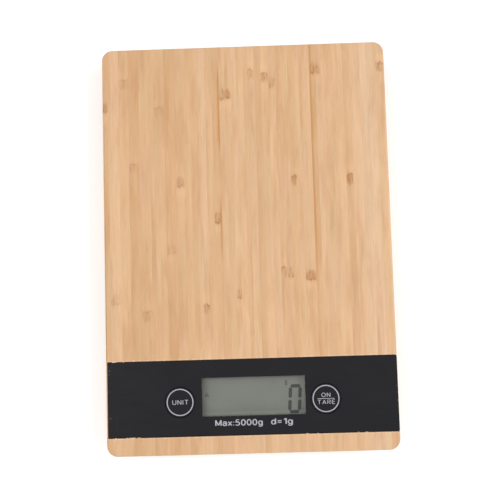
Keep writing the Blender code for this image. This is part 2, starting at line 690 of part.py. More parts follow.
def screw_mesh(name, head_radius, shank_radius, head_bottom, head_height, tip, finish):
    """A screw that points up: a pan head with a cross recess, and a shank with a point."""
    seat = head_bottom + head_height
    profile = [
        (0, head_bottom),
        (head_radius * 0.8, head_bottom),
        (head_radius, head_bottom + head_height * 0.35),
        (head_radius, seat),
        (shank_radius, seat),
        (shank_radius, tip - 1.5 * shank_radius),
        (0, tip),
    ]
    screw = place(name, mesh_from(name, turned(profile, SMALL_STEPS), smooth=True), finish)
    recess = bmesh.new()
    arm, slot = head_radius * 1.1, head_radius * 0.28
    cross = [(slot, slot), (slot, arm), (-slot, arm), (-slot, slot), (-arm, slot), (-arm, -slot)]
    cross += [(-x, -y) for x, y in cross]
    outline = [(x / 2, y / 2) for x, y in cross]
    add_prism(recess, outline, head_bottom - 1 * MM, head_bottom + head_height * 0.55)
    return settled_mesh(combine(screw, recess, "DIFFERENCE"))


def make_screws(steel):
    head_height = 1.5 * MM
    base_head = BASE_SHELF - GAP - head_height
    long_screw = screw_mesh("long", BASE_SCREW_HEAD, BASE_SCREW_SHANK, base_head, head_height,
                            BASE_SCREW_TIP, steel)
    for number, at in enumerate(BASE_SCREW_PLACES, 1):
        place(f"base_screw_{number}", long_screw, steel, at=(*at, 0))
    head_height = 1.2 * MM
    pcb_head = PCB_UNDERSIDE - GAP - head_height
    short_screw = screw_mesh("short", PCB_SCREW_HEAD, PCB_SCREW_SHANK, pcb_head, head_height,
                             PCB_SCREW_TIP, steel)
    for number, at in enumerate(pcb_screw_places(), 1):
        place(f"circuit_board_screw_{number}", short_screw, steel, at=(*at, 0))


# Routes of the leads, in millimetres, from a load cell or contact to the underside of the circuit board.
REAR_CELL_ROUTE = [
    (48.7, 92, 7.8), (46.6, 91.9, 7.6), (44, 90.4, 7.2), (41.8, 86, 6.3), (40, 78, 5.8), (38, 50, 5.8),
    (36, 10, 5.8), (34, -30, 5.8), (31.4, -58, 5.9), (30.4, -66, 6.4), (30, -71, 7.2), (30, -76, 7.4),
]
FRONT_CELL_ROUTE = [
    (48.7, -92, 7.8), (47.2, -91.9, 7.5), (45.4, -91.4, 7.2), (43.2, -90.3, 7.2), (40.6, -88.8, 7.3),
    (37.5, -87.6, 7.4),
]
POSITIVE_ROUTE = [
    (11.4, -22, 11.2), (12.2, -29, 11.3), (12.2, -36.8, 11.2), (11.9, -39.4, 10.5), (11.4, -42, 8.4),
    (10.6, -46, 6.2), (9.6, -56, 5.6), (9, -65, 6.1), (8.8, -69, 7.0),
]
NEGATIVE_ROUTE = [
    (-3.2, -13.9, 11.2), (-8, -18, 11.3), (-11.5, -27, 11.3), (-12.2, -36.8, 11.2), (-11.9, -39.4, 10.5),
    (-11.4, -42, 8.4), (-10.6, -46, 6.2), (-9.6, -56, 5.6), (-9, -65, 6.1), (-8.8, -69, 7.0),
]


def make_leads(grey, red, black):
    bundle, single = 0.9 * MM, 0.6 * MM
    for name, route in (("rear", REAR_CELL_ROUTE), ("front", FRONT_CELL_ROUTE)):
        lead(f"cell_lead_{name}_right", grey, bundle, route)
        lead(f"cell_lead_{name}_left", grey, bundle, mirrored(route))
    lead("battery_lead_positive", red, single, POSITIVE_ROUTE)
    lead("battery_lead_negative", black, single, NEGATIVE_ROUTE)


# ---------------------------------------------------------------- assembly


def main():
    clear_scene()
    bamboo = material("bamboo", (0.73, 0.49, 0.29), 0.45)
    black = material("black_plastic", (0.026, 0.026, 0.030), 0.35)
    housing = material("housing_plastic", (0.035, 0.035, 0.038), 0.5)
    clear = material("clear_plastic", (0.9, 0.92, 0.9), 0.05, alpha=0.25)
    glass = material("display_glass", (0.55, 0.58, 0.53), 0.1, alpha=0.4)
    reflector = material("reflector", (0.25, 0.27, 0.24), 0.4, metallic=0.3)
    rubber = material("rubber", (0.03, 0.03, 0.03), 0.85)
    steel = material("steel", (0.55, 0.55, 0.56), 0.35, metallic=1.0)
    spring_metal = material("nickel_strip", (0.66, 0.64, 0.58), 0.3, metallic=1.0)
    solder_mask = material("solder_mask", (0.02, 0.13, 0.05), 0.4)
    epoxy = material("epoxy", (0.012, 0.012, 0.012), 0.25)
    sleeve = material("capacitor_sleeve", (0.03, 0.05, 0.16), 0.4)
    elastomer = material("elastomer", (0.5, 0.42, 0.40), 0.7)
    ivory = material("switch_plastic", (0.10, 0.10, 0.10), 0.5)
    grey_lead = material("grey_insulation", (0.42, 0.42, 0.42), 0.5)
    red_lead = material("red_insulation", (0.55, 0.03, 0.02), 0.5)
    black_lead = material("black_insulation", (0.02, 0.02, 0.02), 0.5)

    make_bamboo_board(bamboo)
    make_display_panel(black)
    make_display_window(clear)
    make_lcd(glass, reflector, housing)
    make_zebra_strip(elastomer)
    make_circuit_board(solder_mask)
    make_components(epoxy, sleeve, epoxy)
    for name, at in zip(("unit", "tare"), key_places()):
        axis = joint_empty(f"{name}_key_axis", (*at, 0))
        make_key(f"{name}_key", black, axis)
        make_switch(name, at, ivory, housing, axis)
    make_base_cover(housing)
    make_contacts(spring_metal)
    make_coin_cell(steel)
    make_battery_door(housing)
    make_feet(rubber, housing, steel)
    make_screws(steel)
    make_leads(grey_lead, red_lead, black_lead)


if __name__ == "__main__":
    main()
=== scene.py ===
"""The looks of a slim bamboo kitchen scale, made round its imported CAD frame.

Lengths are in metres, and the millimetre is the working unit. The origin is on the table below the middle of
the board, +Z is up, and the display is at the -Y end. Each visible piece is modelled here in finer detail
than its CAD solid and rides on the same body. Hidden pieces keep their CAD shape and get their own finish.
"""

import logging
import math
import random
from dataclasses import dataclass
from enum import Enum
from functools import lru_cache
from typing import Any, Callable, Iterable, Mapping, Optional, Sequence, Tuple, Union

import bmesh
import bpy
from bmesh.types import BMesh
from mathutils import Euler, Matrix, Vector


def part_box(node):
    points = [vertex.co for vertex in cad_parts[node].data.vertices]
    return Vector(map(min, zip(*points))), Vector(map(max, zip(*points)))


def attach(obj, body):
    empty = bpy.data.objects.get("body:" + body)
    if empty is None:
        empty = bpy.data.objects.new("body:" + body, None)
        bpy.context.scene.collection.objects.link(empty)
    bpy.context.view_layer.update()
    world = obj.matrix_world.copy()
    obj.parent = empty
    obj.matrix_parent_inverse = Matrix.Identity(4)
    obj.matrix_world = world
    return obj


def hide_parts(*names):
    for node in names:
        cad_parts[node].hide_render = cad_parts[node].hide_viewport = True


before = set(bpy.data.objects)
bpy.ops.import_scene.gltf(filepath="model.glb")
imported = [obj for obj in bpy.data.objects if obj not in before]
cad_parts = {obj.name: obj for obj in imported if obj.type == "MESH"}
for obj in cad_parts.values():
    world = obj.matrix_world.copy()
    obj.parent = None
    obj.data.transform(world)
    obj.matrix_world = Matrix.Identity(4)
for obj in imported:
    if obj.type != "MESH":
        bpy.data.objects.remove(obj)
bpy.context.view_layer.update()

LOG = logging.getLogger("kitchen_scale")

MM = 0.001
MERGED = 1e-7  # two points nearer than this are one
PAST = 1 * MM  # how far a cutter stands past what it cuts
FILM = 0.01 * MM  # how far print sinks into its surface, and stands out of it
CREASE = 35.0  # degrees, above which an edge stays sharp
QUARTER = tuple(math.radians(a) for a in (0, 30, 60, 90))
SIDES = (-1, 1)
CORNERS = tuple((x, y) for y in SIDES for x in SIDES)
FOOT_NAMES = ("front_left", "front_right", "rear_left", "rear_right")
PLATFORM = "platform"

Pair = Tuple[float, float]
Point = Tuple[float, float, float]
Colour = Tuple[float, float, float]
Place = Sequence[float]
Value = Union["Wire", float]


def srgb(red: int, green: int, blue: int) -> Colour:
    """The linear colour of a screen colour whose channels run from 0 to 255."""
    channels = (c / 255 for c in (red, green, blue))
    return tuple(c / 12.92 if c <= 0.04045 else ((c + 0.055) / 1.055) ** 2.4 for c in channels)


# --- shader building


def through(operation: str, swapped: bool = False) -> Callable[["Wire", Value], "Wire"]:
    """Makes an operator of Wire.

    Args:
        operation: What its Math node does.
        swapped: Whether the other value comes first.

    Returns:
        The operator.
    """

    def method(wire: "Wire", other: Value) -> "Wire":
        """The Math node's result."""
        return wire.bench.maths(operation, *((other, wire) if swapped else (wire, other)))

    return method


class Wire:
    """A value in a material's node tree. Arithmetic on it adds Math nodes."""

    def __init__(self, bench: "NodeBench", socket: bpy.types.NodeSocket) -> None:
        """Wraps an output socket of the bench's node tree."""
        self.bench = bench
        self.socket = socket

    __add__, __radd__ = through("ADD"), through("ADD", True)
    __sub__, __rsub__ = through("SUBTRACT"), through("SUBTRACT", True)
    __mul__, __rmul__ = through("MULTIPLY"), through("MULTIPLY", True)
    __truediv__, __rtruediv__ = through("DIVIDE"), through("DIVIDE", True)
    __pow__ = through("POWER")

    def __abs__(self) -> "Wire":
        """The size of the value without its sign."""
        return self.bench.maths("ABSOLUTE", self)

    def bell(self, width: float) -> "Wire":
        """1 where the value is 0, falling smoothly to a quarter at width and to nothing beyond."""
        return 1.0 / ((self / width) ** 2.0 + 1.0) ** 2.0

    def step(self, low: float, high: float) -> "Wire":
        """A smooth step from 0 at low to 1 at high. With low above high it falls instead."""
        ends = {"From Min": low, "From Max": high} if low < high else {"From Min": high, "From Max": low}
        settings = {"interpolation_type": "SMOOTHSTEP", "clamp": True}
        node = self.bench.node("ShaderNodeMapRange", settings, {"Value": self, **ends})
        risen = Wire(self.bench, node.outputs["Result"])
        return risen if low < high else 1.0 - risen


class NodeBench:
    """Lays out the nodes of one new material."""

    def __init__(self, name: str) -> None:
        """Makes the material and finds its shader."""
        self.material = bpy.data.materials.new(name)
        self.material.use_nodes = True
        self.tree = self.material.node_tree
        self.shader = self.tree.nodes["Principled BSDF"]

    def node(
        self, kind: str, settings: Optional[Mapping[str, Any]] = None, values: Optional[Mapping] = None
    ) -> bpy.types.Node:
        """Adds a node.

        Args:
            kind: The node's type.
            settings: Its properties, which are set first.
            values: What its inputs hold, by name or index: a number, a tuple or a Wire.

        Returns:
            The node.
        """
        made = self.tree.nodes.new(kind)
        for name, setting in (settings or {}).items():
            setattr(made, name, setting)
        for name, value in (values or {}).items():
            self.feed(made.inputs[name], value)
        return made

    def feed(self, socket: bpy.types.NodeSocket, value: Any) -> None:
        """Links a Wire to an input, or sets the input to a plain value."""
        if isinstance(value, Wire):
            self.tree.links.new(value.socket, socket)
        else:
            socket.default_value = value

    def maths(self, operation: str, *values: Value) -> Wire:
        """A Math node's result."""
        node = self.node("ShaderNodeMath", {"operation": operation}, dict(enumerate(values)))
        return Wire(self, node.outputs[0])

    def position(self) -> Wire:
        """The point in the object's own coordinates, in metres."""
        return Wire(self, self.node("ShaderNodeTexCoord").outputs["Object"])

    def facing(self) -> Wire:
        """The surface's direction in the object's own coordinates."""
        return Wire(self, self.node("ShaderNodeTexCoord").outputs["Normal"])

    def attribute(self, name: str, output: str = "Vector") -> Wire:
        """A value that the mesh carries."""
        return Wire(self, self.node("ShaderNodeAttribute", {"attribute_name": name}).outputs[output])

    def split(self, vector: Wire) -> Tuple[Wire, Wire, Wire]:
        """The three parts of a vector."""
        node = self.node("ShaderNodeSeparateXYZ", values={0: vector})
        return tuple(Wire(self, output) for output in node.outputs)

    def join(self, x: Value, y: Value, z: Value) -> Wire:
        """A vector of three parts."""
        return Wire(self, self.node("ShaderNodeCombineXYZ", values={0: x, 1: y, 2: z}).outputs[0])

    def stretch(self, vector: Wire, scale: Point, offset: Point = (0.0, 0.0, 0.0)) -> Wire:
        """A vector multiplied by scale, then moved by offset."""
        values = {0: vector, 1: scale, 2: offset}
        return Wire(self, self.node("ShaderNodeVectorMath", {"operation": "MULTIPLY_ADD"}, values).outputs[0])

    def noise(self, vector: Wire, scale: float, detail: float = 2.0, roughness: float = 0.5) -> Wire:
        """Smooth noise from 0 to 1, mostly near a half, with about scale features to the unit."""
        values = {"Vector": vector, "Scale": scale, "Detail": detail, "Roughness": roughness}
        return Wire(self, self.node("ShaderNodeTexNoise", values=values).outputs["Fac"])

    def streaks(self, vector: Wire, scale: Point, detail: float = 2.0, roughness: float = 0.5,
                offset: Point = (0.0, 0.0, 0.0)) -> Wire:
        """Smooth noise drawn out along the axes, with scale's features to the unit along each."""
        return self.noise(self.stretch(vector, scale, offset), 1.0, detail, roughness)

    def cells(self, vector: Wire, scale: float) -> Wire:
        """The distance to the nearest of scattered points, about scale of them to the unit."""
        values = {"Vector": vector, "Scale": scale}
        return Wire(self, self.node("ShaderNodeTexVoronoi", values=values).outputs["Distance"])

    def mix(self, share: Value, first: Any, second: Any) -> Wire:
        """A colour between two, at share from the first to the second."""
        settings = {"data_type": "RGBA", "clamp_factor": True}
        colours = [(*c, 1.0) if isinstance(c, tuple) else c for c in (first, second)]
        node = self.node("ShaderNodeMix", settings, {0: share, 6: colours[0], 7: colours[1]})
        return Wire(self, node.outputs[2])

    def shade(self, colour: Any, amount: Value) -> Wire:
        """A colour made lighter or darker by a factor."""
        node = self.node("ShaderNodeVectorMath", {"operation": "SCALE"}, {0: colour, "Scale": amount})
        return Wire(self, node.outputs[0])

    def relief(self, height: Wire, depth: float, strength: float = 1.0) -> None:
        """Feeds the shader's normal from a height map whose unit stands for depth metres."""
        values = {"Height": height, "Distance": depth, "Strength": strength}
        self.set(Normal=Wire(self, self.node("ShaderNodeBump", values=values).outputs[0]))

    def set(self, **inputs: Any) -> None:
        """Feeds the shader's inputs, whose names are written with _ for a space."""
        for name, value in inputs.items():
            self.feed(self.shader.inputs[name.replace("_", " ")], value)


# --- finishes


@dataclass(frozen=True)
class Finish:
    """A surface finish. Each kind paints its own nodes."""

    name: str
    slot: str

    def paint(self, bench: NodeBench) -> None:
        """Lays out the finish's nodes on a bench."""
        raise NotImplementedError

    @lru_cache(maxsize=None)
    def material(self) -> bpy.types.Material:
        """The finish's material, made once."""
        bench = NodeBench(self.name)
        self.paint(bench)
        return bench.material


@dataclass(frozen=True)
class Bamboo(Finish):
    """Oiled laminated bamboo. Its mesh says for each face which lamella it belongs to."""

    groove_front: float = 0.0
    groove_rear: float = 0.0
    amber: Colour = srgb(188, 132, 83)
    orange: Colour = srgb(196, 137, 80)
    rose: Colour = srgb(216, 168, 136)
    straw: Colour = srgb(211, 181, 134)
    raw: Colour = srgb(236, 208, 176)
    # painted shade: the dark brown laid on the groove's walls, for the shadow in the gap beside the panel
    groove_wall_shade: Colour = srgb(62, 40, 28)

    def paint(self, bench: NodeBench) -> None:
        """Grain, pores, knuckles and glue lines along the board, fibre ends across it, and painted shade on
        the groove's walls.
        """
        x, y, z = bench.split(bench.position())
        left, width, seed = bench.split(bench.attribute("lamella_place"))
        knuckle, strength, stain = bench.split(bench.attribute("lamella_mark"))
        colour = bench.attribute("lamella_colour", "Color")
        across = (x - left) / width

        sway = bench.noise(bench.join(seed, y, seed), 14.0) - 0.5
        own = bench.join(x + sway * (1.6 * MM) + seed * 0.61, y + seed * 0.43, z + seed * 0.29)
        drift = bench.streaks(own, (95, 16, 95)) - 0.5
        streaks = bench.streaks(own, (640, 34, 640), 3.0, 0.6) - 0.5
        fibres = bench.streaks(own, (2600, 90, 2600), 2.0) - 0.5
        dashes = bench.streaks(own, (1500, 70, 1500), 2.0, offset=(3, 1, 8)).step(0.58, 0.76)
        pores = bench.streaks(own, (3600, 160, 3600), 1.0, offset=(7, 3, 5)).step(0.6, 0.74)
        hue = bench.streaks(own, (260, 20, 260), 2.0, offset=(2, 9, 4))
        rich = bench.streaks(own, (330, 24, 330), 3.0, 0.6, offset=(8, 2, 1)).step(0.35, 0.7)

        blot, line, flare = self._knuckle(bench, own, across - 0.5, y - knuckle, strength)
        ragged = streaks * (1.2 * MM)
        left_stain, right_stain = stain.step(0.0, 1.0), stain.step(0.0, -1.0)
        seam = (x - left - 0.5 * MM - ragged).bell(0.95 * MM) * left_stain
        seam = seam + (x - left - width + 0.3 * MM + ragged).bell(1.0 * MM) * right_stain
        seam = seam * drift.step(-0.16, 0.14) * (0.15 + y.step(-40 * MM, 20 * MM) * 0.85)
        glue = (x - left).bell(0.11 * MM)
        tone = 1.0 + drift * 0.2 + streaks * 0.22 + fibres * 0.16 + (across - 0.5) * 0.03
        tone = tone - pores * 0.07 - line * 0.17 - blot * 0.07 - seam * 0.06 - glue * 0.07 + flare * 0.07
        hued = bench.mix((hue - 0.5).step(0.03, 0.22) * 0.3, colour, self.rose)
        hued = bench.mix((0.5 - hue).step(0.03, 0.22) * 0.3, hued, self.straw)
        patches = bench.streaks(own, (170, 24, 170), 3.0, 0.6, offset=(6, 4, 9)).step(0.45, 0.7)
        warmth = (blot * 0.8 + line * 0.7 + dashes * 0.28 + pores * 0.12).step(0.0, 1.3) + rich * 0.12
        warmth = warmth + patches * 0.3
        amber = bench.mix(seam * 1.5, bench.mix(warmth, hued, self.amber), self.orange)
        along = bench.shade(amber, tone)

        _, facing_y, _ = bench.split(bench.facing())
        ends = bench.join(x + seed * 0.3, seed, z)
        bundles = bench.cells(ends, 1500.0).step(0.42, 0.18)
        end_tone = 0.86 + drift * 0.3 - bundles * 0.3 - glue * 0.2
        across_grain = bench.shade(bench.mix(bundles * 0.5, colour, self.amber), end_tone)
        surface = bench.mix(abs(facing_y).step(0.55, 0.85), along, across_grain)

        front, rear = abs(y - self.groove_front), abs(y - self.groove_rear)
        torn = bench.streaks(own, (700, 300, 700), 2.0, offset=(5, 5, 5)).step(0.54, 0.66)
        edge = front.step(1.0 * MM, 0.35 * MM) + rear.step(1.0 * MM, 0.35 * MM)
        surface = bench.mix(edge * z.step(17.5 * MM, 17.8 * MM) * (torn * 0.5 + 0.12), surface, self.raw)
        # painted shade: the groove's walls between 15.3 and 17.85 mm high are darkened to a deep brown, for
        # the shadow in the gap beside the panel
        wall = front.step(0.4 * MM, 0.1 * MM) + rear.step(0.4 * MM, 0.1 * MM)
        inside = z.step(17.85 * MM, 17.55 * MM) * z.step(15.3 * MM, 15.6 * MM)
        surface = bench.mix(wall * inside * 0.85, surface, self.groove_wall_shade)

        bench.set(Base_Color=surface, Roughness=0.43 + fibres * 0.2 + pores * 0.12 + streaks * 0.12)
        bench.set(IOR=1.46)
        bench.relief(fibres * 0.5 - pores - glue * 1.2 - line * 0.6, 0.05 * MM, 0.5)

    @staticmethod
    def _knuckle(
        bench: NodeBench, own: Wire, side: Wire, beyond: Wire, strength: Wire
    ) -> Tuple[Wire, Wire, Wire]:
        """The scar where the cane had a joint.

        Args:
            bench: The material's bench.
            own: The strip's own coordinates.
            side: The place across the strip, 0 at its middle.
            beyond: How far along the strip from the joint.
            strength: How marked the joint is, below 0 where its foot is at the rear.

        Returns:
            The amber blot, the dark line at its foot and the pale flare past it.
        """
        ragged = bench.streaks(own, (850, 140, 850), 2.0) - 0.5
        lobes = bench.streaks(own, (760, 170, 760), 3.0, 0.6, offset=(4, 4, 4))
        hairs = bench.streaks(own, (2300, 130, 2300), 1.0, offset=(1, 6, 2)).step(0.5, 0.66)
        upward = strength.step(-0.01, 0.01) * 2.0 - 1.0
        strength = abs(strength)
        rise = beyond * upward + ragged * (4.5 * MM)
        middle = bench.streaks(own, (0.0, 3.0, 0.0), 0.0) - 0.5
        tail = 2.3 * MM + rise.step(-1.0 * MM, 1.0 * MM) * (2.0 * MM)
        reach = (rise / tail) ** 2.0 + ((side - middle * 0.8) / 0.62) ** 2.0
        blot = reach.step(1.5, 0.1) * strength * (lobes.step(0.3, 0.6) * 0.7 + hairs * 0.4 + 0.2)
        foot = (rise + 1.5 * MM).bell(0.5 * MM) * strength * reach.step(1.9, 0.5)
        comb = (rise - 2.5 * MM).bell(3.6 * MM) * hairs * strength * 0.5
        line = (foot * (lobes.step(0.3, 0.55) * 0.6 + 0.3) + comb * 0.8) * 0.85
        flare = (rise + 5.0 * MM).bell(3.0 * MM) * strength
        return blot, line, flare


@dataclass(frozen=True)
class Plastic(Finish):
    """Moulded plastic with a spark-eroded grain, faint mottling and dust in the grain."""

    colour: Colour = (0.03, 0.03, 0.03)
    roughness: float = 0.5
    grain: float = 0.35 * MM
    depth: float = 0.02 * MM
    mottle: float = 0.12

    def paint(self, bench: NodeBench) -> None:
        """A fine grain in the relief, the roughness and the colour."""
        place = bench.position()
        grain = bench.noise(place, 1.0 / self.grain, 2.0, 0.6) - 0.5
        cloud = bench.noise(place, 55.0, 3.0) - 0.5
        tone = 1.0 + cloud * (2.0 * self.mottle) + grain * (3.0 * self.mottle)
        bench.set(Base_Color=bench.shade(self.colour, tone))
        bench.set(Roughness=self.roughness + cloud * 0.12 + grain * 0.1)
        bench.relief(grain, self.depth, 0.6)


@dataclass(frozen=True)
class PanelBlack(Finish):
    """The display panel's black acrylic: nearly smooth, with dust, faint smears and rubbed ends."""

    colour: Colour = srgb(22, 21, 26)
    scuffed: Colour = srgb(150, 148, 154)
    left_end: float = -79.8 * MM
    right_end: float = 80.8 * MM
    nicks: Tuple[Point, ...] = ((-79.0, -67.7, 0.8), (-79.2, -69.8, 0.4), (80.4, -79.9, 0.4),
                                                     (80.6, -87.8, 0.5), (80.6, -83.5, 0.3))

    def paint(self, bench: NodeBench) -> None:
        """A dark, slightly uneven black, with pale scuffs near the two ends."""
        place = bench.position()
        x, y, _ = bench.split(place)
        cloud = bench.noise(place, 38.0, 3.0) - 0.5
        smear = bench.streaks(place, (60, 190, 60), 3.0, 0.6) - 0.5
        dust = bench.cells(place, 420.0).step(0.075, 0.03)
        scratch = bench.streaks(place, (260, 1500, 260), 2.0).step(0.68, 0.74)
        near_ends = (x - self.left_end).step(9.0 * MM, 1.0 * MM)
        near_ends = near_ends + (self.right_end - x).step(5.0 * MM, 0.5 * MM)
        scuff = scratch * near_ends * bench.noise(place, 160.0).step(0.5, 0.62)
        for at_x, at_y, size in self.nicks:
            away = ((x - at_x * MM) / (size * MM)) ** 2.0 + ((y - at_y * MM) / (size * 0.4 * MM)) ** 2.0
            scuff = scuff + (away + smear * 4.0).step(1.2, 0.5)
        base = bench.shade(self.colour, 1.0 + cloud * 0.3 + smear * 0.12)
        base = bench.mix(dust * 0.07 + scuff * 0.55, base, self.scuffed)
        bench.set(Base_Color=base, Roughness=0.3 + smear * 0.22 + scuff * 0.3 + cloud * 0.08, IOR=1.49)
        bench.set(Specular_IOR_Level=0.3)
        bench.relief(smear * 0.3 + bench.noise(place, 900.0, 1.0), 0.006 * MM, 0.5)


@dataclass(frozen=True)
class Ink(Finish):
    """Screen-printed ink, a little uneven and worn."""

    colour: Colour = srgb(174, 172, 180)
    worn: Colour = srgb(120, 118, 126)

    def paint(self, bench: NodeBench) -> None:
        """Pale ink with a mottled cover."""
        place = bench.position()
        wear = bench.noise(place, 1900.0, 3.0, 0.6).step(0.5, 0.7)
        patch = bench.noise(place, 300.0, 2.0) - 0.5
        bench.set(Base_Color=bench.mix(wear * 0.45, bench.shade(self.colour, 1.0 + patch * 0.3), self.worn))
        bench.set(Roughness=0.5 + patch * 0.2)
        bench.relief(wear, 0.01 * MM, 0.4)


@dataclass(frozen=True)
class Clear(Finish):
    """A clear acrylic or glass sheet, with faint smears in its gloss."""

    tint: Colour = srgb(84, 88, 84)
    cover: float = 0.1
    roughness: float = 0.06

    def paint(self, bench: NodeBench) -> None:
        """Mostly see-through, and a little less so where it is smeared."""
        place = bench.position()
        smear = bench.streaks(place, (70, 160, 70), 3.0) - 0.5
        bench.set(Base_Color=bench.shade(self.tint, 1.0 + smear * 0.15), Alpha=self.cover + smear * 0.04)
        bench.set(Roughness=self.roughness + smear * 0.05)
        bench.relief(smear, 0.01 * MM, 0.3)


@dataclass(frozen=True)
class LcdField(Finish):
    """The display's grey-green field: cloudy, with a painted shadow at the rear left and painted light at the
    front right.
    """

    colour: Colour = srgb(136, 138, 130)
    shaded: Colour = srgb(92, 94, 90)
    lit: Colour = srgb(176, 176, 170)
    middle: Pair = (0.0, 0.0)
    half: Pair = (0.028, 0.010)

    def paint(self, bench: NodeBench) -> None:
        """A fine reflector grain under a painted soft edge shadow, with painted light along the front and
        right edges.
        """
        place = bench.position()
        x, y, _ = bench.split(place)
        grain = bench.noise(place, 2600.0, 2.0) - 0.5
        cloud = bench.noise(place, 90.0, 2.0) - 0.5
        far_x, far_y = (x - self.middle[0]), (y - self.middle[1])
        # painted shadow: the field darkens toward its left and rear edges, for the shade cast by the window's
        # walls
        shaded = (far_x * -1.0).step(self.half[0] - 4.0 * MM, self.half[0]) * 0.25
        shaded = shaded + far_y.step(self.half[1] - 2.0 * MM, self.half[1]) * 0.35
        # painted light: the field is lifted toward its right and front edges
        lit = far_x.step(self.half[0] - 2.5 * MM, self.half[0] - 0.5 * MM) * 0.4
        lit = lit + (far_y * -1.0).step(self.half[1] - 2.5 * MM, self.half[1] - 0.5 * MM) * 0.4
        base = bench.shade(self.colour, 1.0 + grain * 0.1 + cloud * 0.16)
        bench.set(Base_Color=bench.mix(lit, bench.mix(shaded, base, self.shaded), self.lit))
        bench.set(Roughness=0.34 + grain * 0.12, IOR=1.5)
        bench.relief(grain, 0.004 * MM, 0.3)


@dataclass(frozen=True)
class Metal(Finish):
    """Rolled or plated metal, brushed along X."""

    colour: Colour = (0.56, 0.56, 0.57)
    roughness: float = 0.32
    brushing: float = 0.12
    stain: Colour = srgb(120, 104, 86)

    def paint(self, bench: NodeBench) -> None:
        """Fine brushing in the colour, the roughness and the relief."""
        place = bench.position()
        lines = bench.streaks(place, (160, 5200, 5200), 2.0) - 0.5
        cloud = bench.noise(place, 240.0, 3.0)
        base = bench.shade(self.colour, 1.0 + lines * (3.0 * self.brushing))
        bench.set(Base_Color=bench.mix(cloud.step(0.56, 0.8) * 0.3, base, self.stain), Metallic=1.0)
        bench.set(Roughness=self.roughness + lines * self.brushing + (cloud - 0.5) * 0.2)
        bench.relief(lines, 0.01 * MM, 0.4)


@dataclass(frozen=True)
class SolderMask(Finish):
    """A circuit board: green solder mask over copper tracks, and tinned pads."""

    mask: Colour = srgb(22, 92, 52)
    track: Colour = srgb(34, 122, 70)
    pad: Colour = srgb(196, 196, 190)

    def paint(self, bench: NodeBench) -> None:
        """Tracks on a square grid and a scatter of round pads."""
        place = bench.position()
        x, y, _ = bench.split(place)
        cell = bench.node("ShaderNodeTexBrick", {"offset": 0.5}, {"Vector": place, "Scale": 260.0})
        track = Wire(bench, cell.outputs["Fac"])
        wander = bench.noise(place, 120.0).step(0.42, 0.55)
        dots = bench.cells(bench.join(x, y, 0.0), 230.0).step(0.17, 0.14)
        base = bench.mix(track * wander, self.mask, self.track)
        base = bench.mix(dots, bench.shade(base, 1.0 + (bench.noise(place, 700.0) - 0.5) * 0.3), self.pad)
        bench.set(Base_Color=base, Roughness=0.36 + dots * 0.1, Metallic=dots * 0.9)
        bench.relief(track * wander + dots, 0.03 * MM, 0.5)


@dataclass(frozen=True)
class RawFibre(Finish):
    """Torn bamboo fibre, pale and dry."""

    colour: Colour = srgb(232, 214, 190)

    def paint(self, bench: NodeBench) -> None:
        """Fine lengthwise fibres."""
        place = bench.position()
        fibres = bench.streaks(place, (400, 3000, 3000), 2.0) - 0.5
        bench.set(Base_Color=bench.shade(self.colour, 1.0 + fibres * 0.5), Roughness=0.75 + fibres * 0.1)
        bench.relief(fibres, 0.05 * MM, 0.6)


@dataclass(frozen=True)
class Segment(Finish):
    """A darkened segment of the display."""

    colour: Colour = srgb(66, 68, 63)

    def paint(self, bench: NodeBench) -> None:
        """A slightly uneven dark grey-green."""
        place = bench.position()
        cloud = bench.noise(place, 700.0, 2.0) - 0.5
        bench.set(Base_Color=bench.shade(self.colour, 1.0 + cloud * 0.4), Roughness=0.4 + cloud * 0.1)
        bench.relief(cloud, 0.002 * MM, 0.2)


@dataclass(frozen=True)
class Paper(Finish):
    """The pale sweep that the scale lies on, lit a little from below."""

    colour: Colour = srgb(248, 248, 248)
    glow: float = 0.16

    def paint(self, bench: NodeBench) -> None:
        """A matt white with the faintest mottling."""
        cloud = bench.noise(bench.position(), 6.0, 2.0) - 0.5
        bench.set(Base_Color=bench.shade(self.colour, 1.0 + cloud * 0.01), Roughness=0.9 + cloud * 0.02)
        bench.set(Emission_Strength=self.glow)


BLACK_ACRYLIC = PanelBlack("black acrylic", "black_plastic")
PRINT = Ink("pale print", "black_plastic")
HOUSING = Plastic("textured housing", "housing_plastic", srgb(40, 40, 42), 0.55)
STEEL = Metal("zinc-plated steel", "steel")


# --- shapes


def bevel(shape: BMesh, edges: Iterable, radius: float, steps: int) -> None:
    """Rounds some of a shape's edges."""
    bmesh.ops.bevel(shape, geom=list(edges), offset=radius, offset_type="OFFSET", segments=steps, profile=0.5,
                    affect="EDGES", clamp_overlap=True, material=-1)


def shift(shape: BMesh, by: Place) -> None:
    """Moves a shape."""
    bmesh.ops.translate(shape, vec=by, verts=shape.verts)


def rim(shape: BMesh, height: float) -> list:
    """The edges round a flat-ended shape's outline at one height."""
    return [e for e in shape.edges if all(abs(v.co.z - height) < MERGED for v in e.verts)]


def slab(low: Place, high: Place, corner: float = 0.0, steps: int = 8) -> BMesh:
    """A block between two opposite corners.

    Args:
        low: Its lowest corner.
        high: Its highest corner.
        corner: The radius of its upright edges.
        steps: How many faces round each of them.

    Returns:
        The block.
    """
    low, high = Vector(low), Vector(high)
    shape = bmesh.new()
    bmesh.ops.create_cube(shape, size=1.0)
    bmesh.ops.scale(shape, vec=high - low, verts=shape.verts)
    shift(shape, (low + high) / 2)
    if corner:
        upright = [e for e in shape.edges if abs(e.verts[0].co.z - e.verts[1].co.z) > (high.z - low.z) / 2]
        bevel(shape, upright, corner, steps)
    return shape


def plate(middle: Place, size: Place, bottom: float, top: float, corner: float = 0.0) -> BMesh:
    """A block by its middle and size in plan, and its two heights."""
    low = (middle[0] - size[0] / 2, middle[1] - size[1] / 2, bottom)
    high = (middle[0] + size[0] / 2, middle[1] + size[1] / 2, top)
    return slab(low, high, corner)


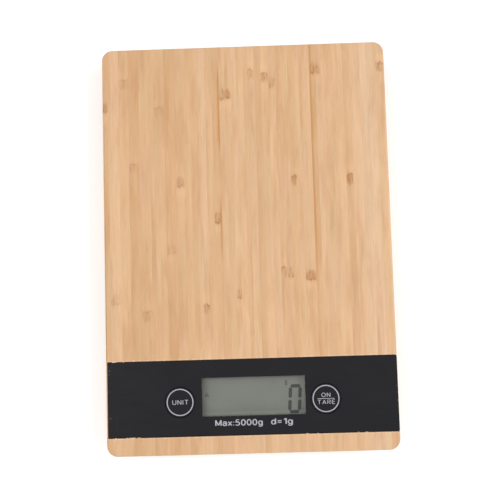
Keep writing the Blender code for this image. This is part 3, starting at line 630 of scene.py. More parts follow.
def spun(outline: Sequence[Pair], middle: Place, steps: int, closed: bool) -> BMesh:
    """Spins an outline about an upright axis.

    Args:
        outline: Its (radius, height) points.
        middle: Where the axis stands.
        steps: How many faces round.
        closed: Whether the last point joins the first.

    Returns:
        The spun shape.
    """
    shape = bmesh.new()
    points = [shape.verts.new((middle[0] + radius, middle[1], height)) for radius, height in outline]
    ends = points[1:] + points[:1] if closed else points[1:]
    edges = [shape.edges.new(pair) for pair in zip(points, ends)]
    bmesh.ops.spin(shape, geom=points + edges, cent=(middle[0], middle[1], 0), axis=(0, 0, 1), angle=math.tau,
                   steps=steps, use_merge=True)
    return shape


def turned(profile: Sequence[Pair], middle: Place = (0, 0), steps: int = 64) -> BMesh:
    """A solid spun from a profile whose first and last points are on the axis."""
    shape = spun(profile, middle, steps, closed=False)
    bmesh.ops.remove_doubles(shape, verts=shape.verts, dist=MERGED)
    return shape


def disc(middle: Place, radius: float, bottom: float, top: float, steps: int) -> BMesh:
    """A plain disc."""
    return turned([(0, bottom), (radius, bottom), (radius, top), (0, top)], middle, steps)


def ring(middle: Place, outer: float, inner: float, bottom: float, top: float) -> BMesh:
    """A flat ring with square edges."""
    return spun([(outer, bottom), (outer, top), (inner, top), (inner, bottom)], middle, 72, closed=True)


def wedge(shape: BMesh, radius: float, depth: float) -> None:
    """Adds a three-sided prism."""
    bmesh.ops.create_cone(shape, cap_ends=True, segments=3, radius1=radius, radius2=radius, depth=depth)


def bent_foot(radius: float, bottom: float, bend: float) -> list:
    """The profile of a disc's rounded lower rim, from below outwards."""
    return [(radius - bend + bend * math.sin(a), bottom + bend - bend * math.cos(a)) for a in QUARTER]


def bent_head(radius: float, top: float, bend: float) -> list:
    """The profile of a disc's rounded upper rim, from outside inwards."""
    return [(radius - bend + bend * math.cos(a), top - bend + bend * math.sin(a)) for a in QUARTER]


def placed(name: str, shape: BMesh) -> bpy.types.Object:
    """An object in the scene for a shape, which is freed."""
    mesh = bpy.data.meshes.new(name)
    shape.to_mesh(mesh)
    shape.free()
    thing = bpy.data.objects.new(name, mesh)
    bpy.context.scene.collection.objects.link(thing)
    return thing


def gather(*shapes: BMesh) -> BMesh:
    """Several shapes in one bmesh. The old ones are freed."""
    whole = bmesh.new()
    for shape in shapes:
        mesh = bpy.data.meshes.new("part")
        shape.to_mesh(mesh)
        whole.from_mesh(mesh)
        shape.free()
        bpy.data.meshes.remove(mesh)
    return whole


def loose(shape: BMesh) -> bpy.types.Object:
    """A passing object for a shape, which is freed."""
    bmesh.ops.recalc_face_normals(shape, faces=shape.faces)
    return placed("passing", shape)


def discard(thing: bpy.types.Object) -> None:
    """Removes a passing object and its mesh."""
    mesh = thing.data
    bpy.data.objects.remove(thing)
    bpy.data.meshes.remove(mesh)


def worked(shape: BMesh, kind: str, **settings: Any) -> BMesh:
    """A shape after one modifier. The old shape is freed."""
    thing = loose(shape)
    modifier = thing.modifiers.new("work", kind)
    for name, value in settings.items():
        setattr(modifier, name, value)
    bpy.context.view_layer.update()
    made = bmesh.new()
    made.from_object(thing, bpy.context.evaluated_depsgraph_get())
    discard(thing)
    return made


def cut(shape: BMesh, *tools: BMesh, operation: str = "DIFFERENCE") -> BMesh:
    """A shape with tools cut out of it, or joined to it, one after the other. All of them are freed."""
    for each in tools:
        tool = loose(each)
        shape = worked(shape, "BOOLEAN", operation=operation, solver="EXACT", object=tool)
        discard(tool)
    return shape


def eased(shape: BMesh, radius: float, steps: int = 2) -> BMesh:
    """A shape with its sharp edges rounded."""
    angle = math.radians(50)
    return worked(shape, "BEVEL", width=radius, segments=steps, limit_method="ANGLE", angle_limit=angle)


def arc(middle: Place, reach: Place, start: float, end: float) -> list:
    """Points along part of an ellipse, between two angles in degrees."""
    steps = max(4, round(abs(end - start) / 18))
    angles = [math.radians(start + (end - start) * i / steps) for i in range(steps + 1)]
    return [(middle[0] + reach[0] * math.cos(a), middle[1] + reach[1] * math.sin(a)) for a in angles]


@dataclass(frozen=True)
class Glyph:
    """A letter drawn with a broad pen: its width, and its strokes for a capital height of 1."""

    width: float
    strokes: Tuple[Sequence[Pair], ...]


GLYPHS = {
    "A": Glyph(0.66, ([(0, 0), (0.33, 1)], [(0.33, 1), (0.66, 0)], [(0.12, 0.32), (0.54, 0.32)])),
    "E": Glyph(0.52, ([(0, 0), (0, 1)], [(0, 1), (0.52, 1)], [(0, 0.52), (0.46, 0.52)], [(0, 0), (0.52, 0)])),
    "I": Glyph(0.0, ([(0, 0), (0, 1)],)),
    "M": Glyph(0.72, ([(0, 0), (0, 1)], [(0, 1), (0.36, 0.08)], [(0.36, 0.08), (0.72, 1)],
                      [(0.72, 1), (0.72, 0)])),
    "N": Glyph(0.6, ([(0, 0), (0, 1)], [(0, 1), (0.6, 0)], [(0.6, 0), (0.6, 1)])),
    "O": Glyph(0.74, (arc((0.37, 0.5), (0.37, 0.5), 0, 360),)),
    "R": Glyph(0.58, ([(0, 0), (0, 1), (0.32, 1), *arc((0.32, 0.74), (0.24, 0.26), 90, -90), (0, 0.48)],
                      [(0.3, 0.48), (0.58, 0)])),
    "T": Glyph(0.62, ([(0, 1), (0.62, 1)], [(0.31, 1), (0.31, 0)])),
    "U": Glyph(0.6, ([(0, 1), *arc((0.3, 0.3), (0.3, 0.3), 180, 360), (0.6, 1)],)),
    "a": Glyph(0.46, ([(0.46, 0), *arc((0.23, 0.5), (0.23, 0.21), 0, 160)],
                      arc((0.22, 0.2), (0.22, 0.2), 0, 360))),
    "d": Glyph(0.48, ([(0.48, 0), (0.48, 1)], arc((0.23, 0.35), (0.23, 0.35), 0, 360))),
    "g": Glyph(0.48, ([(0.48, 0.7), *arc((0.24, -0.06), (0.24, 0.21), 0, -160)],
                      arc((0.23, 0.36), (0.23, 0.34), 0, 360))),
    "x": Glyph(0.46, ([(0, 0), (0.46, 0.7)], [(0, 0.7), (0.46, 0)])),
    "0": Glyph(0.52, (arc((0.26, 0.5), (0.26, 0.5), 0, 360),)),
    "1": Glyph(0.3, ([(0.3, 0), (0.3, 1)], [(0.3, 1), (0.04, 0.76)])),
    "5": Glyph(0.54, ([(0.5, 1), (0.12, 1), (0.06, 0.52)], arc((0.26, 0.31), (0.27, 0.31), 135, -145))),
    ":": Glyph(0.0, ([(0, 0.02), (0, 0.13)], [(0, 0.56), (0, 0.67)])),
    "=": Glyph(0.48, ([(0, 0.3), (0.48, 0.3)], [(0, 0.6), (0.48, 0.6)])),
    " ": Glyph(0.28, ()),
}


def lettering(text: str, middle: Place, size: Place, bottom: float, top: float,
              pen: float = 0.13, gap: float = 0.27) -> BMesh:
    """Printed letters that fill a box exactly.

    Args:
        text: The letters.
        middle: The middle of the box in plan.
        size: The box's width and height.
        bottom: The height of the letters' foot.
        top: The height of their face.
        pen: The strokes' breadth, for a capital height of 1.
        gap: The space between letters, for the same.

    Returns:
        The letters, as one shape.
    """
    curve = bpy.data.curves.new("letters", "CURVE")
    curve.dimensions = "3D"
    curve.bevel_depth = pen / 2
    curve.bevel_resolution = 2
    curve.use_fill_caps = True
    start = 0.0
    for letter in text:
        for stroke in GLYPHS[letter].strokes:
            spline = curve.splines.new("POLY")
            spline.points.add(len(stroke) - 1)
            for point, (x, y) in zip(spline.points, stroke):
                point.co = (start + x, y, 0, 1)
        start += GLYPHS[letter].width + gap
    thing = bpy.data.objects.new("letters", curve)
    bpy.context.scene.collection.objects.link(thing)
    bpy.context.view_layer.update()
    mesh = bpy.data.meshes.new_from_object(thing.evaluated_get(bpy.context.evaluated_depsgraph_get()))
    shape = bmesh.new()
    shape.from_mesh(mesh)
    bpy.data.objects.remove(thing)
    bpy.data.curves.remove(curve)
    bpy.data.meshes.remove(mesh)
    bmesh.ops.remove_doubles(shape, verts=shape.verts, dist=1e-5)
    low, high = (Vector(tuple(end(v.co[i] for v in shape.verts) for i in range(3))) for end in (min, max))
    target = Vector((*size, top - bottom))
    shift(shape, -(low + high) / 2)
    bmesh.ops.scale(shape, vec=[t / s for t, s in zip(target, high - low)], verts=shape.verts)
    shift(shape, (*middle, (bottom + top) / 2))
    return shape


def present(name: str, shape: BMesh, finish: Finish, body: str, *nodes: str) -> None:
    """Turns a shape into a finished piece that rides on a body.

    Args:
        name: The piece's name.
        shape: Its shape, in its place. It is freed.
        finish: Its finish.
        body: The body that it moves with.
        nodes: The CAD nodes that it stands for.
    """
    bmesh.ops.recalc_face_normals(shape, faces=shape.faces)
    piece = placed(name, shape)
    mesh = piece.data
    mesh.shade_smooth()
    mesh.set_sharp_from_angle(angle=math.radians(CREASE))
    mesh.materials.append(finish.material())
    weighted = piece.modifiers.new("Even shading", "WEIGHTED_NORMAL")
    weighted.keep_sharp = True
    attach(piece, body)
    if nodes:
        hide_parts(*nodes)
    LOG.info("%s: %d faces, %s, on %s", name, len(mesh.polygons), finish.name, body)


def dress(finish: Finish, *nodes: str) -> None:
    """Gives CAD nodes that stay in sight a finish of their own."""
    for name in nodes:
        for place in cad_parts[name].material_slots:
            place.link = "OBJECT"
            place.material = finish.material()
        LOG.info("%s: CAD shape, %s", name, finish.name)


# --- the bamboo board


class Tone(Enum):
    """The shades that bamboo strips are sorted into."""

    AMBER = srgb(208, 165, 122)
    HONEY = srgb(211, 170, 128)
    OAT = srgb(214, 173, 132)
    CREAM = srgb(217, 177, 137)
    PALE = srgb(219, 180, 141)
    STRAW = srgb(220, 184, 148)


@dataclass(frozen=True)
class Strip:
    """One bamboo strip of the board, in millimetres."""

    width: float
    tone: Tone
    knuckle: float = 0.0
    strength: float = 0.0
    stain: float = 0.0


STRIPS = (
    Strip(3.5, Tone.AMBER, 80.5, 1.1),
    Strip(6.0, Tone.CREAM, -29.5, 0.5),
    Strip(5.5, Tone.OAT, 95.5, -0.5),
    Strip(6.0, Tone.AMBER, 46.5, -0.5),
    Strip(6.0, Tone.HONEY, -37.0, -0.6),
    Strip(2.5, Tone.HONEY, 12.0, 0.15),
    Strip(6.0, Tone.OAT, 79.0, -0.45),
    Strip(6.0, Tone.AMBER, -1.5, 0.5),
    Strip(5.0, Tone.OAT, 36.0, 0.9),
    Strip(4.0, Tone.HONEY, 61.0, 0.15),
    Strip(4.5, Tone.OAT, -55.0, 0.2),
    Strip(4.0, Tone.PALE, -34.0, -0.8),
    Strip(4.0, Tone.OAT, 70.0, 0.1),
    Strip(4.0, Tone.OAT, 15.0, 1.2, -0.95),
    Strip(3.5, Tone.CREAM, 86.0, 0.8, 0.4),
    Strip(3.5, Tone.OAT, 86.5, 1.1),
    Strip(3.0, Tone.PALE, -28.0, 0.7),
    Strip(4.0, Tone.CREAM, 52.0, 0.1),
    Strip(2.5, Tone.OAT, -48.0, 0.3),
    Strip(4.0, Tone.PALE, 99.5, -0.7),
    Strip(3.5, Tone.HONEY, 28.0, 0.15),
    Strip(4.5, Tone.CREAM, 97.0, -0.8),
    Strip(4.0, Tone.CREAM, 92.0, 0.6),
    Strip(3.5, Tone.OAT, -14.5, -0.8),
    Strip(3.5, Tone.CREAM, -16.5, 0.8),
    Strip(3.5, Tone.HONEY, 37.0, -0.9),
    Strip(3.0, Tone.CREAM, 5.0, 0.2),
    Strip(6.0, Tone.CREAM, -18.5, 1.0),
    Strip(3.5, Tone.HONEY, 99.5, 0.9, 0.6),
    Strip(3.0, Tone.PALE, 99.0, 0.6),
    Strip(6.0, Tone.CREAM, -44.0, 0.15),
    Strip(6.5, Tone.CREAM, 20.0, 0.1),
    Strip(4.0, Tone.OAT, 37.0, -1.0),
    Strip(5.5, Tone.PALE, 68.0, 0.15),
    Strip(4.0, Tone.STRAW, -8.0, 0.15),
    Strip(5.5, Tone.STRAW, 58.0, 0.1),
    Strip(5.0, Tone.CREAM, 101.0, -1.0),
)


@dataclass
class Board:
    """The laminated bamboo board that everything else is let into."""

    corner: float = 6.0 * MM
    rounding: float = 1.2 * MM
    easing: float = 0.22 * MM
    pocket: Pair = (148 * MM, 216 * MM)
    pocket_corner: float = 6.0 * MM
    pocket_ceiling: float = 12.5 * MM
    groove_left: float = -80.2 * MM
    groove_front: float = -104.85 * MM
    groove_rear: float = -62.95 * MM
    groove_floor: float = 15.7 * MM
    window: Pair = (100.4 * MM, 34.8 * MM)
    window_middle: Pair = (0.45 * MM, -84 * MM)
    window_corner: float = 2 * MM
    pilot_radius: float = 1.6 * MM
    pilot_top: float = 15.0 * MM
    splinter_foot: float = 17.5 * MM
    strips: Sequence[Strip] = STRIPS

    def build(self) -> None:
        """Makes the board and the splinters along its groove."""
        bamboo = Bamboo("oiled bamboo", "bamboo", self.groove_front, self.groove_rear)
        present("bamboo_board_laminated", self._laminated(self._milled()), bamboo, PLATFORM, "bamboo_board")
        present("groove_splinters", self._splinters(), RawFibre("raw bamboo fibre", "bamboo"), PLATFORM)

    def _milled(self) -> BMesh:
        """The board's outside, pocket, groove and holes."""
        low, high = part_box("bamboo_board")
        board = slab(low, high, self.corner, 12)
        for height in (low.z, high.z):
            bevel(board, rim(board, height), self.rounding, 4)
        past, ceiling = 5 * MM, self.pocket_ceiling
        pocket = plate((0, 0), self.pocket, low.z - past, ceiling, self.pocket_corner)
        groove_low = (self.groove_left, self.groove_front, self.groove_floor)
        groove = slab(groove_low, (high.x + past, self.groove_rear, high.z + past))
        window = plate(self.window_middle, self.window, ceiling - past / 2, high.z, self.window_corner)
        board = eased(cut(board, pocket, groove, window), self.easing)
        pilots = [disc(at, self.pilot_radius, low.z, self.pilot_top, 24) for at in base_screw_places()]
        return cut(board, *pilots)

    def _laminated(self, board: BMesh) -> BMesh:
        """Parts the board's faces where its strips meet, and tells every face which strip it is on."""
        random_marks = random.Random(11)
        left = -sum(strip.width for strip in self.strips) * MM / 2
        edges = [left]
        for strip in self.strips:
            edges.append(edges[-1] + strip.width * MM)
        for edge in edges[1:-1]:
            whole = [*board.verts, *board.edges, *board.faces]
            bmesh.ops.bisect_plane(board, geom=whole, dist=1e-6, plane_co=(edge, 0, 0), plane_no=(1, 0, 0))
        colour = board.faces.layers.float_color.new("lamella_colour")
        place = board.faces.layers.float_vector.new("lamella_place")
        mark = board.faces.layers.float_vector.new("lamella_mark")
        seeds = [random_marks.uniform(0.0, 5.0) for _ in self.strips]
        tints = [random_marks.uniform(0.985, 1.015) for _ in self.strips]
        for face in board.faces:
            middle = face.calc_center_median().x
            number = max(i for i, edge in enumerate(edges[:-1]) if i == 0 or edge <= middle)
            strip = self.strips[number]
            face[colour] = (*(c * tints[number] for c in strip.tone.value), 1.0)
            outer = 3 * MM if number == 0 else 0.0
            face[place] = (edges[number] - outer, strip.width * MM + outer, seeds[number])
            face[mark] = (strip.knuckle * MM, strip.strength, strip.stain)
        return board

    def _splinters(self) -> BMesh:
        """Thin torn fibres that lie along the groove's edges."""
        chance = random.Random(5)
        foot = self.splinter_foot
        slivers = []
        for edge, side, start, end, count in (
            (self.groove_front, -1, -76, -62, 7),
            (self.groove_rear, 1, -78, -70, 4),
            (self.groove_front, -1, 30, 70, 4),
        ):
            for _ in range(count):
                x = chance.uniform(start, end) * MM
                length = chance.uniform(0.8, 2.2) * MM
                depth = chance.uniform(0.24, 0.34) * MM
                top = foot + chance.uniform(0.25, 0.42) * MM
                sliver = plate((x, edge - side * depth / 2), (length, depth), foot, top)
                tip = [v for v in sliver.verts if v.co.x > x]
                at = Matrix.Translation((-x, -edge, -foot))
                bmesh.ops.scale(sliver, vec=(1, 0.25, 0.4), verts=tip, space=at)
                slivers.append(sliver)
        return gather(*slivers)


def numbered(name: str, count: int) -> list:
    """The names of a set of like nodes."""
    return [f"{name}_{number}" for number in range(1, count + 1)]


def base_screw_places() -> list:
    """The middles of the eight screws that hold the base cover, in order."""
    boxes = [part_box(name) for name in numbered("base_screw", 8)]
    return [((low.x + high.x) / 2, (low.y + high.y) / 2) for low, high in boxes]


# --- panel, window and keys


def middle_of(node: str) -> Vector:
    """The middle of a CAD node's box."""
    low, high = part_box(node)
    return (low + high) / 2


@dataclass(frozen=True)
class PrintedWord:
    """A printed word: its middle, from the key's middle on a key, and its size."""

    text: str
    middle: Pair
    size: Pair


@dataclass
class DisplayPanel:
    """The black panel let into the board, the clear window in it, and what is printed on it."""

    underside: float = 16.0 * MM
    corner: float = 0.3 * MM
    edge: float = 0.15 * MM
    key_opening: float = 8.5 * MM
    window_gap: float = 0.2 * MM
    boss_radius: float = 2.6 * MM
    pilot_radius: float = 1.2 * MM
    pilot_top: float = 13.5 * MM
    print_thickness: float = 0.02 * MM
    legend: Tuple[PrintedWord, ...] = (
        PrintedWord("Max:5000g", (-7.6 * MM, -98.2 * MM), (26.3 * MM, 4.3 * MM)),
        PrintedWord("d=1g", (16.1 * MM, -98.1 * MM), (12.1 * MM, 4.3 * MM)),
    )

    def build(self) -> None:
        """Makes the panel, its window and its legend."""
        low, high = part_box("display_panel")
        sheet = slab((low.x, low.y, self.underside), high, self.corner, 4)
        window_low, window_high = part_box("display_window")
        gap = Vector((self.window_gap, self.window_gap, PAST))
        opening = slab(window_low - gap, window_high + gap, self.corner, 4)
        keys = [disc(middle_of(f"{name}_key"), self.key_opening, low.z, high.z + PAST, 72)
                for name in ("unit", "tare")]
        sheet = eased(cut(sheet, opening, *keys), self.edge, 3)
        screws = [middle_of(name) for name in numbered("circuit_board_screw", 4)]
        bosses = [disc(at, self.boss_radius, low.z, self.underside + 0.5 * MM, 32) for at in screws]
        pilots = [disc(at, self.pilot_radius, low.z - PAST, self.pilot_top, 24) for at in screws]
        sheet = cut(cut(sheet, *bosses, operation="UNION"), *pilots)
        present("display_panel_moulded", sheet, BLACK_ACRYLIC, PLATFORM, "display_panel")

        window = slab(window_low, window_high, 0.25 * MM, 4)
        bevel(window, rim(window, window_high.z), 0.1 * MM, 2)
        acrylic = Clear("clear acrylic", "clear_plastic")
        present("display_window_clear", window, acrylic, PLATFORM, "display_window")

        foot = high.z - FILM
        face = foot + self.print_thickness
        words = [lettering(word.text, word.middle, word.size, foot, face, pen=0.17) for word in self.legend]
        present("capacity_legend", gather(*words), PRINT, PLATFORM)


@dataclass
class Key:
    """A round key with a printed ring and words."""

    name: str
    words: Sequence[PrintedWord]
    rule: float = 0.0
    ring_outer: float = 7.42 * MM
    ring_width: float = 0.56 * MM
    rule_width: float = 0.3 * MM
    edge: float = 0.12 * MM
    radius: float = 8.2 * MM
    stem: float = 2.0 * MM
    flange: float = 9.0 * MM
    flange_heights: Pair = (14.7 * MM, 15.7 * MM)

    def build(self) -> None:
        """Makes the key's cap and its print, which ride together."""
        body = f"{self.name}_key"
        low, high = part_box(body)
        middle = (low + high) / 2
        under, over = self.flange_heights
        profile = [(0, low.z), (self.stem, low.z), (self.stem, under), (self.flange, under),
                   (self.flange, over), (self.radius, over), *bent_head(self.radius, high.z, self.edge),
                   (0, high.z)]
        present(f"{body}_cap", turned(profile, middle, 96), BLACK_ACRYLIC, body, body)
        foot, face = high.z - FILM, high.z + FILM
        marks = [ring(middle, self.ring_outer, self.ring_outer - self.ring_width, foot, face)]
        for word in self.words:
            at = (middle.x + word.middle[0], middle.y + word.middle[1])
            marks.append(lettering(word.text, at, word.size, foot, face, gap=0.34))
        if self.rule:
            marks.append(plate(middle, (self.rule, self.rule_width), foot, face))
        present(f"{body}_print", gather(*marks), PRINT, body)


# --- display


@dataclass
class Display:
    """The liquid-crystal display: its glass, the dark marks in it, its frame and its reflector."""

    digit_middle: Pair = (23.9 * MM, -86.3 * MM)
    digit_size: Pair = (7.3 * MM, 16.1 * MM)
    stroke: float = 1.9 * MM
    slant: float = 0.065
    pointer_middle: Pair = (-25.3 * MM, -83.1 * MM)
    pointer_radius: float = 1.7 * MM
    tick_middle: Pair = (19.2 * MM, -77.3 * MM)
    tick_size: Pair = (1.3 * MM, 2.8 * MM)

    def build(self) -> None:
        """Makes the display's pieces."""
        low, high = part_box("lcd_front_glass")
        view_low, view_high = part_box("display_window")
        middle, half = (view_low + view_high) / 2, (view_high - view_low) / 2
        field = LcdField("display field", "display_glass", middle=(middle.x, middle.y), half=(half.x, half.y))
        glass = slab(low, high)
        bevel(glass, list(glass.edges), 0.12 * MM, 2)
        present("lcd_front_glass_etched", glass, field, PLATFORM, "lcd_front_glass")
        digit = gather(*self._zero(high.z))
        present("lcd_digit", digit, Segment("display segment", "display_glass"), PLATFORM)
        faint = Segment("faint display segment", "display_glass", srgb(98, 99, 93))
        present("lcd_signs", gather(self._pointer(high.z), self._tick(high.z)), faint, PLATFORM)
        dress(Clear("back glass", "display_glass", cover=0.4), "lcd_rear_glass")
        dress(Metal("reflector film", "reflector", (0.3, 0.32, 0.29), 0.5), "lcd_reflector")
        dress(Plastic("display frame", "housing_plastic", srgb(26, 26, 28)), "lcd_frame")
        dress(Plastic("zebra rubber", "elastomer", srgb(190, 168, 164), 0.7), "zebra_strip")

    def _bar(self, start: Pair, end: Pair, foot: float) -> BMesh:
        """One six-sided segment of the digit, leaning with it."""
        width, height = self.digit_size
        across = abs(end[0] - start[0]) > abs(end[1] - start[1])
        middle = ((start[0] + end[0]) / 2 * width, (start[1] + end[1]) / 2 * height)
        reach = (abs(end[0] - start[0]) * width, abs(end[1] - start[1]) * height)
        size = (reach[0], self.stroke) if across else (self.stroke, reach[1])
        bar = plate(middle, size, foot - FILM, foot + 2 * FILM)
        upright = [e for e in bar.edges if abs(e.verts[0].co.z - e.verts[1].co.z) > 0.01 * MM]
        bevel(bar, upright, self.stroke * 0.36, 1)
        for vertex in bar.verts:
            vertex.co.x += vertex.co.y * self.slant
        shift(bar, (*self.digit_middle, 0))
        return bar

    def _zero(self, foot: float) -> list:
        """The six lit segments of a 0."""
        inset_x, inset_y = self.stroke / 2 / self.digit_size[0], self.stroke / 2 / self.digit_size[1]
        left, right = -0.5 + inset_x, 0.5 - inset_x
        bottom, top = -0.5 + inset_y, 0.5 - inset_y
        runs = [((left, top), (right, top)), ((left, bottom), (right, bottom))]
        for side in (left, right):
            runs += [((side, bottom + inset_y * 0.8), (side, -inset_y * 0.5)),
                     ((side, inset_y * 0.5), (side, top - inset_y * 0.8))]
        return [self._bar(start, end, foot) for start, end in runs]

    def _pointer(self, foot: float) -> BMesh:
        """The small triangle that shows a steady reading."""
        shape = bmesh.new()
        wedge(shape, self.pointer_radius, 0.03 * MM)
        shift(shape, (*self.pointer_middle, foot))
        return shape

    def _tick(self, foot: float) -> BMesh:
        """The short mark beside the digit's head."""
        return plate(self.tick_middle, self.tick_size, foot - FILM, foot + 2 * FILM, 0.3 * MM)


@dataclass
class Electronics:
    """The circuit board with what is soldered to it, and the two switches under the keys."""

    def build(self) -> None:
        """Gives the electronics their finishes."""
        dress(SolderMask("green solder mask", "solder_mask"), "circuit_board")
        dress(Plastic("black resin", "epoxy", srgb(28, 28, 30), 0.3), "controller_blob")
        dress(Plastic("chip body", "epoxy", srgb(34, 34, 36), 0.5), "memory_chip")
        dress(Plastic("blue sleeve", "capacitor_sleeve", srgb(38, 52, 98), 0.3), "smoothing_capacitor")
        body = Plastic("switch body", "switch_plastic", srgb(62, 62, 64), 0.5)
        dress(body, "unit_switch_body", "tare_switch_body")
        plunger = Plastic("switch plunger", "switch_plastic", srgb(30, 30, 30), 0.4)
        dress(plunger, "unit_switch_plunger", "tare_switch_plunger")
        dress(STEEL, *numbered("circuit_board_screw", 4))


# --- base cover, screws and battery


BAY_MIDDLE = (0.0, -22 * MM)
BAY_SIZE = (24.8 * MM, 26.8 * MM)


def cross(middle: Place, length: float, breadth: float, bottom: float, top: float) -> BMesh:
    """Two crossed bars."""
    bars = [plate(middle, size, bottom, top) for size in ((length, breadth), (breadth, length))]
    return cut(*bars, operation="UNION")


@dataclass
class BaseCover:
    """The moulded tray that closes the board's pocket from below."""

    corner: float = 5.6 * MM
    wall: float = 1.6 * MM
    floor: float = 4.6 * MM
    rounding: float = 0.8 * MM
    boss_radius: float = 4.0 * MM
    counterbore: float = 2.9 * MM
    shelf: float = 5.2 * MM
    hole: float = 1.6 * MM
    well_radius: float = 7.8 * MM
    lip: float = 0.3 * MM
    rib_thickness: float = 1.2 * MM
    rib_top: float = 5.8 * MM
    feet: Pair = (58 * MM, 92 * MM)
    bay_ceiling: float = 9.0 * MM
    bay_top: float = 10.2 * MM
    groove_depth: float = 0.35 * MM
    long_groove: Pair = (1.2 * MM, 92 * MM)
    label: Pair = (62 * MM, 34 * MM)
    stiffener: Pair = (1.4 * MM, 76 * MM)
    tab_slot: Pair = (4.6 * MM, 2.6 * MM)
    notch: Pair = (9 * MM, 3.2 * MM)

    def build(self) -> None:
        """Makes the tray."""
        low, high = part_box("base_cover")
        tray = slab(low, high, self.corner, 10)
        bevel(tray, rim(tray, low.z), self.rounding, 4)
        inner_low = Vector((low.x + self.wall, low.y + self.wall, self.floor))
        inner_high = Vector((high.x - self.wall, high.y - self.wall, high.z + PAST))
        tray = cut(tray, slab(inner_low, inner_high, self.corner - self.wall, 8))
        tray = cut(tray, *self._raised(high.z), operation="UNION")
        tray = cut(tray, *self._openings(low.z, high.z), *self._reliefs(low.z), *self._slots(low.z))
        present("base_cover_moulded", tray, HOUSING, PLATFORM, "base_cover")

    def _foot_places(self) -> list:
        """Where the feet are."""
        return [(side_x * self.feet[0], side_y * self.feet[1]) for side_x, side_y in CORNERS]

    def _raised(self, top: float) -> list:
        """Screw bosses, the battery box, stiffening ribs and the ribs that locate the feet's brackets."""
        root = self.floor - 0.6 * MM
        raised = [disc(at, self.boss_radius, root, top - 0.2 * MM, 32) for at in base_screw_places()]
        box = (BAY_SIZE[0] + 2 * self.wall, BAY_SIZE[1] + 2 * self.wall)
        raised.append(plate(BAY_MIDDLE, box, root, self.bay_top, 1 * MM))
        for side in SIDES:
            raised.append(plate((side * 20 * MM, 50 * MM), self.stiffener, root, 8 * MM))
        near, thick, reach = 12.8 * MM, self.rib_thickness, 11.5 * MM
        for (side_x, side_y), (x, y) in zip(CORNERS, self._foot_places()):
            middle, length = (reach - near - thick) / 2, reach + near + thick
            across = (x + side_x * middle, y - side_y * (near + thick / 2))
            along = (x - side_x * (near + thick / 2), y + side_y * (middle + thick / 2))
            raised.append(plate(across, (length, thick), root, self.rib_top))
            raised.append(plate(along, (thick, length - thick * 0.9), root, self.rib_top))
        return raised

    def _openings(self, bottom: float, top: float) -> list:
        """Stepped screw holes, wells for the feet, and the battery's bay."""
        below, above, mouth = bottom - PAST, top + PAST, bottom + self.lip
        flare = self.lip + PAST
        hole = [(0, below), (self.counterbore + flare, below), (self.counterbore, mouth),
                (self.counterbore, self.shelf), (self.hole, self.shelf), (self.hole, above), (0, above)]
        radius, ceiling = self.well_radius, self.floor + PAST
        well = [(0, below), (radius + flare, below), (radius, mouth), (radius, ceiling), (0, ceiling)]
        openings = [turned(hole, at, 32) for at in base_screw_places()]
        openings += [turned(well, at, 64) for at in self._foot_places()]
        return [*openings, plate(BAY_MIDDLE, BAY_SIZE, below, self.bay_ceiling)]

    def _reliefs(self, bottom: float) -> list:
        """Shallow recesses in the underside: a blank label field, long grooves and a ring round each foot."""
        below, deep = bottom - PAST, bottom + self.groove_depth
        reliefs = [plate((0, 46 * MM), self.label, below, bottom + 0.25 * MM, 2 * MM)]
        for side in SIDES:
            for out in (46, 49, 52):
                reliefs.append(plate((side * out * MM, 6 * MM), self.long_groove, below, deep, 0.5 * MM))
        return reliefs + [ring(at, 10.6 * MM, 9.8 * MM, below, deep) for at in self._foot_places()]

    def _slots(self, bottom: float) -> list:
        """Slots for the door's tabs, a finger notch before the door, and slits for the contacts' tabs."""
        rear = BAY_MIDDLE[1] + BAY_SIZE[1] / 2
        front = BAY_MIDDLE[1] - BAY_SIZE[1] / 2
        slots = [plate((side * 7 * MM, rear + 0.3 * MM), self.tab_slot, bottom + 0.8 * MM, 6.6 * MM)
                 for side in SIDES]
        slots.append(plate((0, front - 1.0 * MM), self.notch, bottom - PAST, bottom + 0.9 * MM, 1.2 * MM))
        for name in ("battery_positive_contact", "battery_negative_contact"):
            low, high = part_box(name)
            if name == "battery_positive_contact":
                high = Vector((low.x + 0.3 * MM, high.y, high.z))
            else:
                low = Vector((low.x, high.y - 0.3 * MM, low.z))
            slots.append(plate(((low.x + high.x) / 2, (low.y + high.y) / 2),
                               (high.x - low.x + 0.6 * MM, high.y - low.y + 0.6 * MM),
                               self.bay_ceiling - PAST, self.bay_top + PAST))
        return slots


@dataclass
class BaseScrews:
    """The eight screws that hold the base cover to the board."""

    head: float = 2.6 * MM
    head_height: float = 1.5 * MM
    shank: float = 1.3 * MM
    thread: float = 1.5 * MM
    pitch: float = 1.0 * MM
    recess: float = 0.8 * MM

    def build(self) -> None:
        """Makes each screw."""
        for name, at in zip(numbered("base_screw", 8), base_screw_places()):
            low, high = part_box(name)
            present(f"{name}_threaded", self._screw(at, low.z, high.z), STEEL, PLATFORM, name)

    def _screw(self, at: Place, bottom: float, tip: float) -> BMesh:
        """One screw, head downwards."""
        seat = bottom + self.head_height
        bend = 0.35 * MM
        profile = [(0, bottom), (self.head - 3 * bend, bottom), (self.head - bend, bottom + bend * 0.4),
                   (self.head, bottom + bend * 1.6), (self.head, seat), (self.shank, seat)]
        height = seat + 0.8 * MM
        while height < tip - 2.4 * MM:
            profile += [(self.shank, height), (self.thread, height + self.pitch * 0.4),
                        (self.shank, height + self.pitch * 0.8)]
            height += self.pitch
        profile += [(self.shank * 0.9, tip - 1.6 * MM), (0, tip)]
        recess = cross(at, 1.24 * self.head, 0.32 * self.head, bottom - PAST, bottom + self.recess)
        return cut(turned(profile, at, 32), recess)


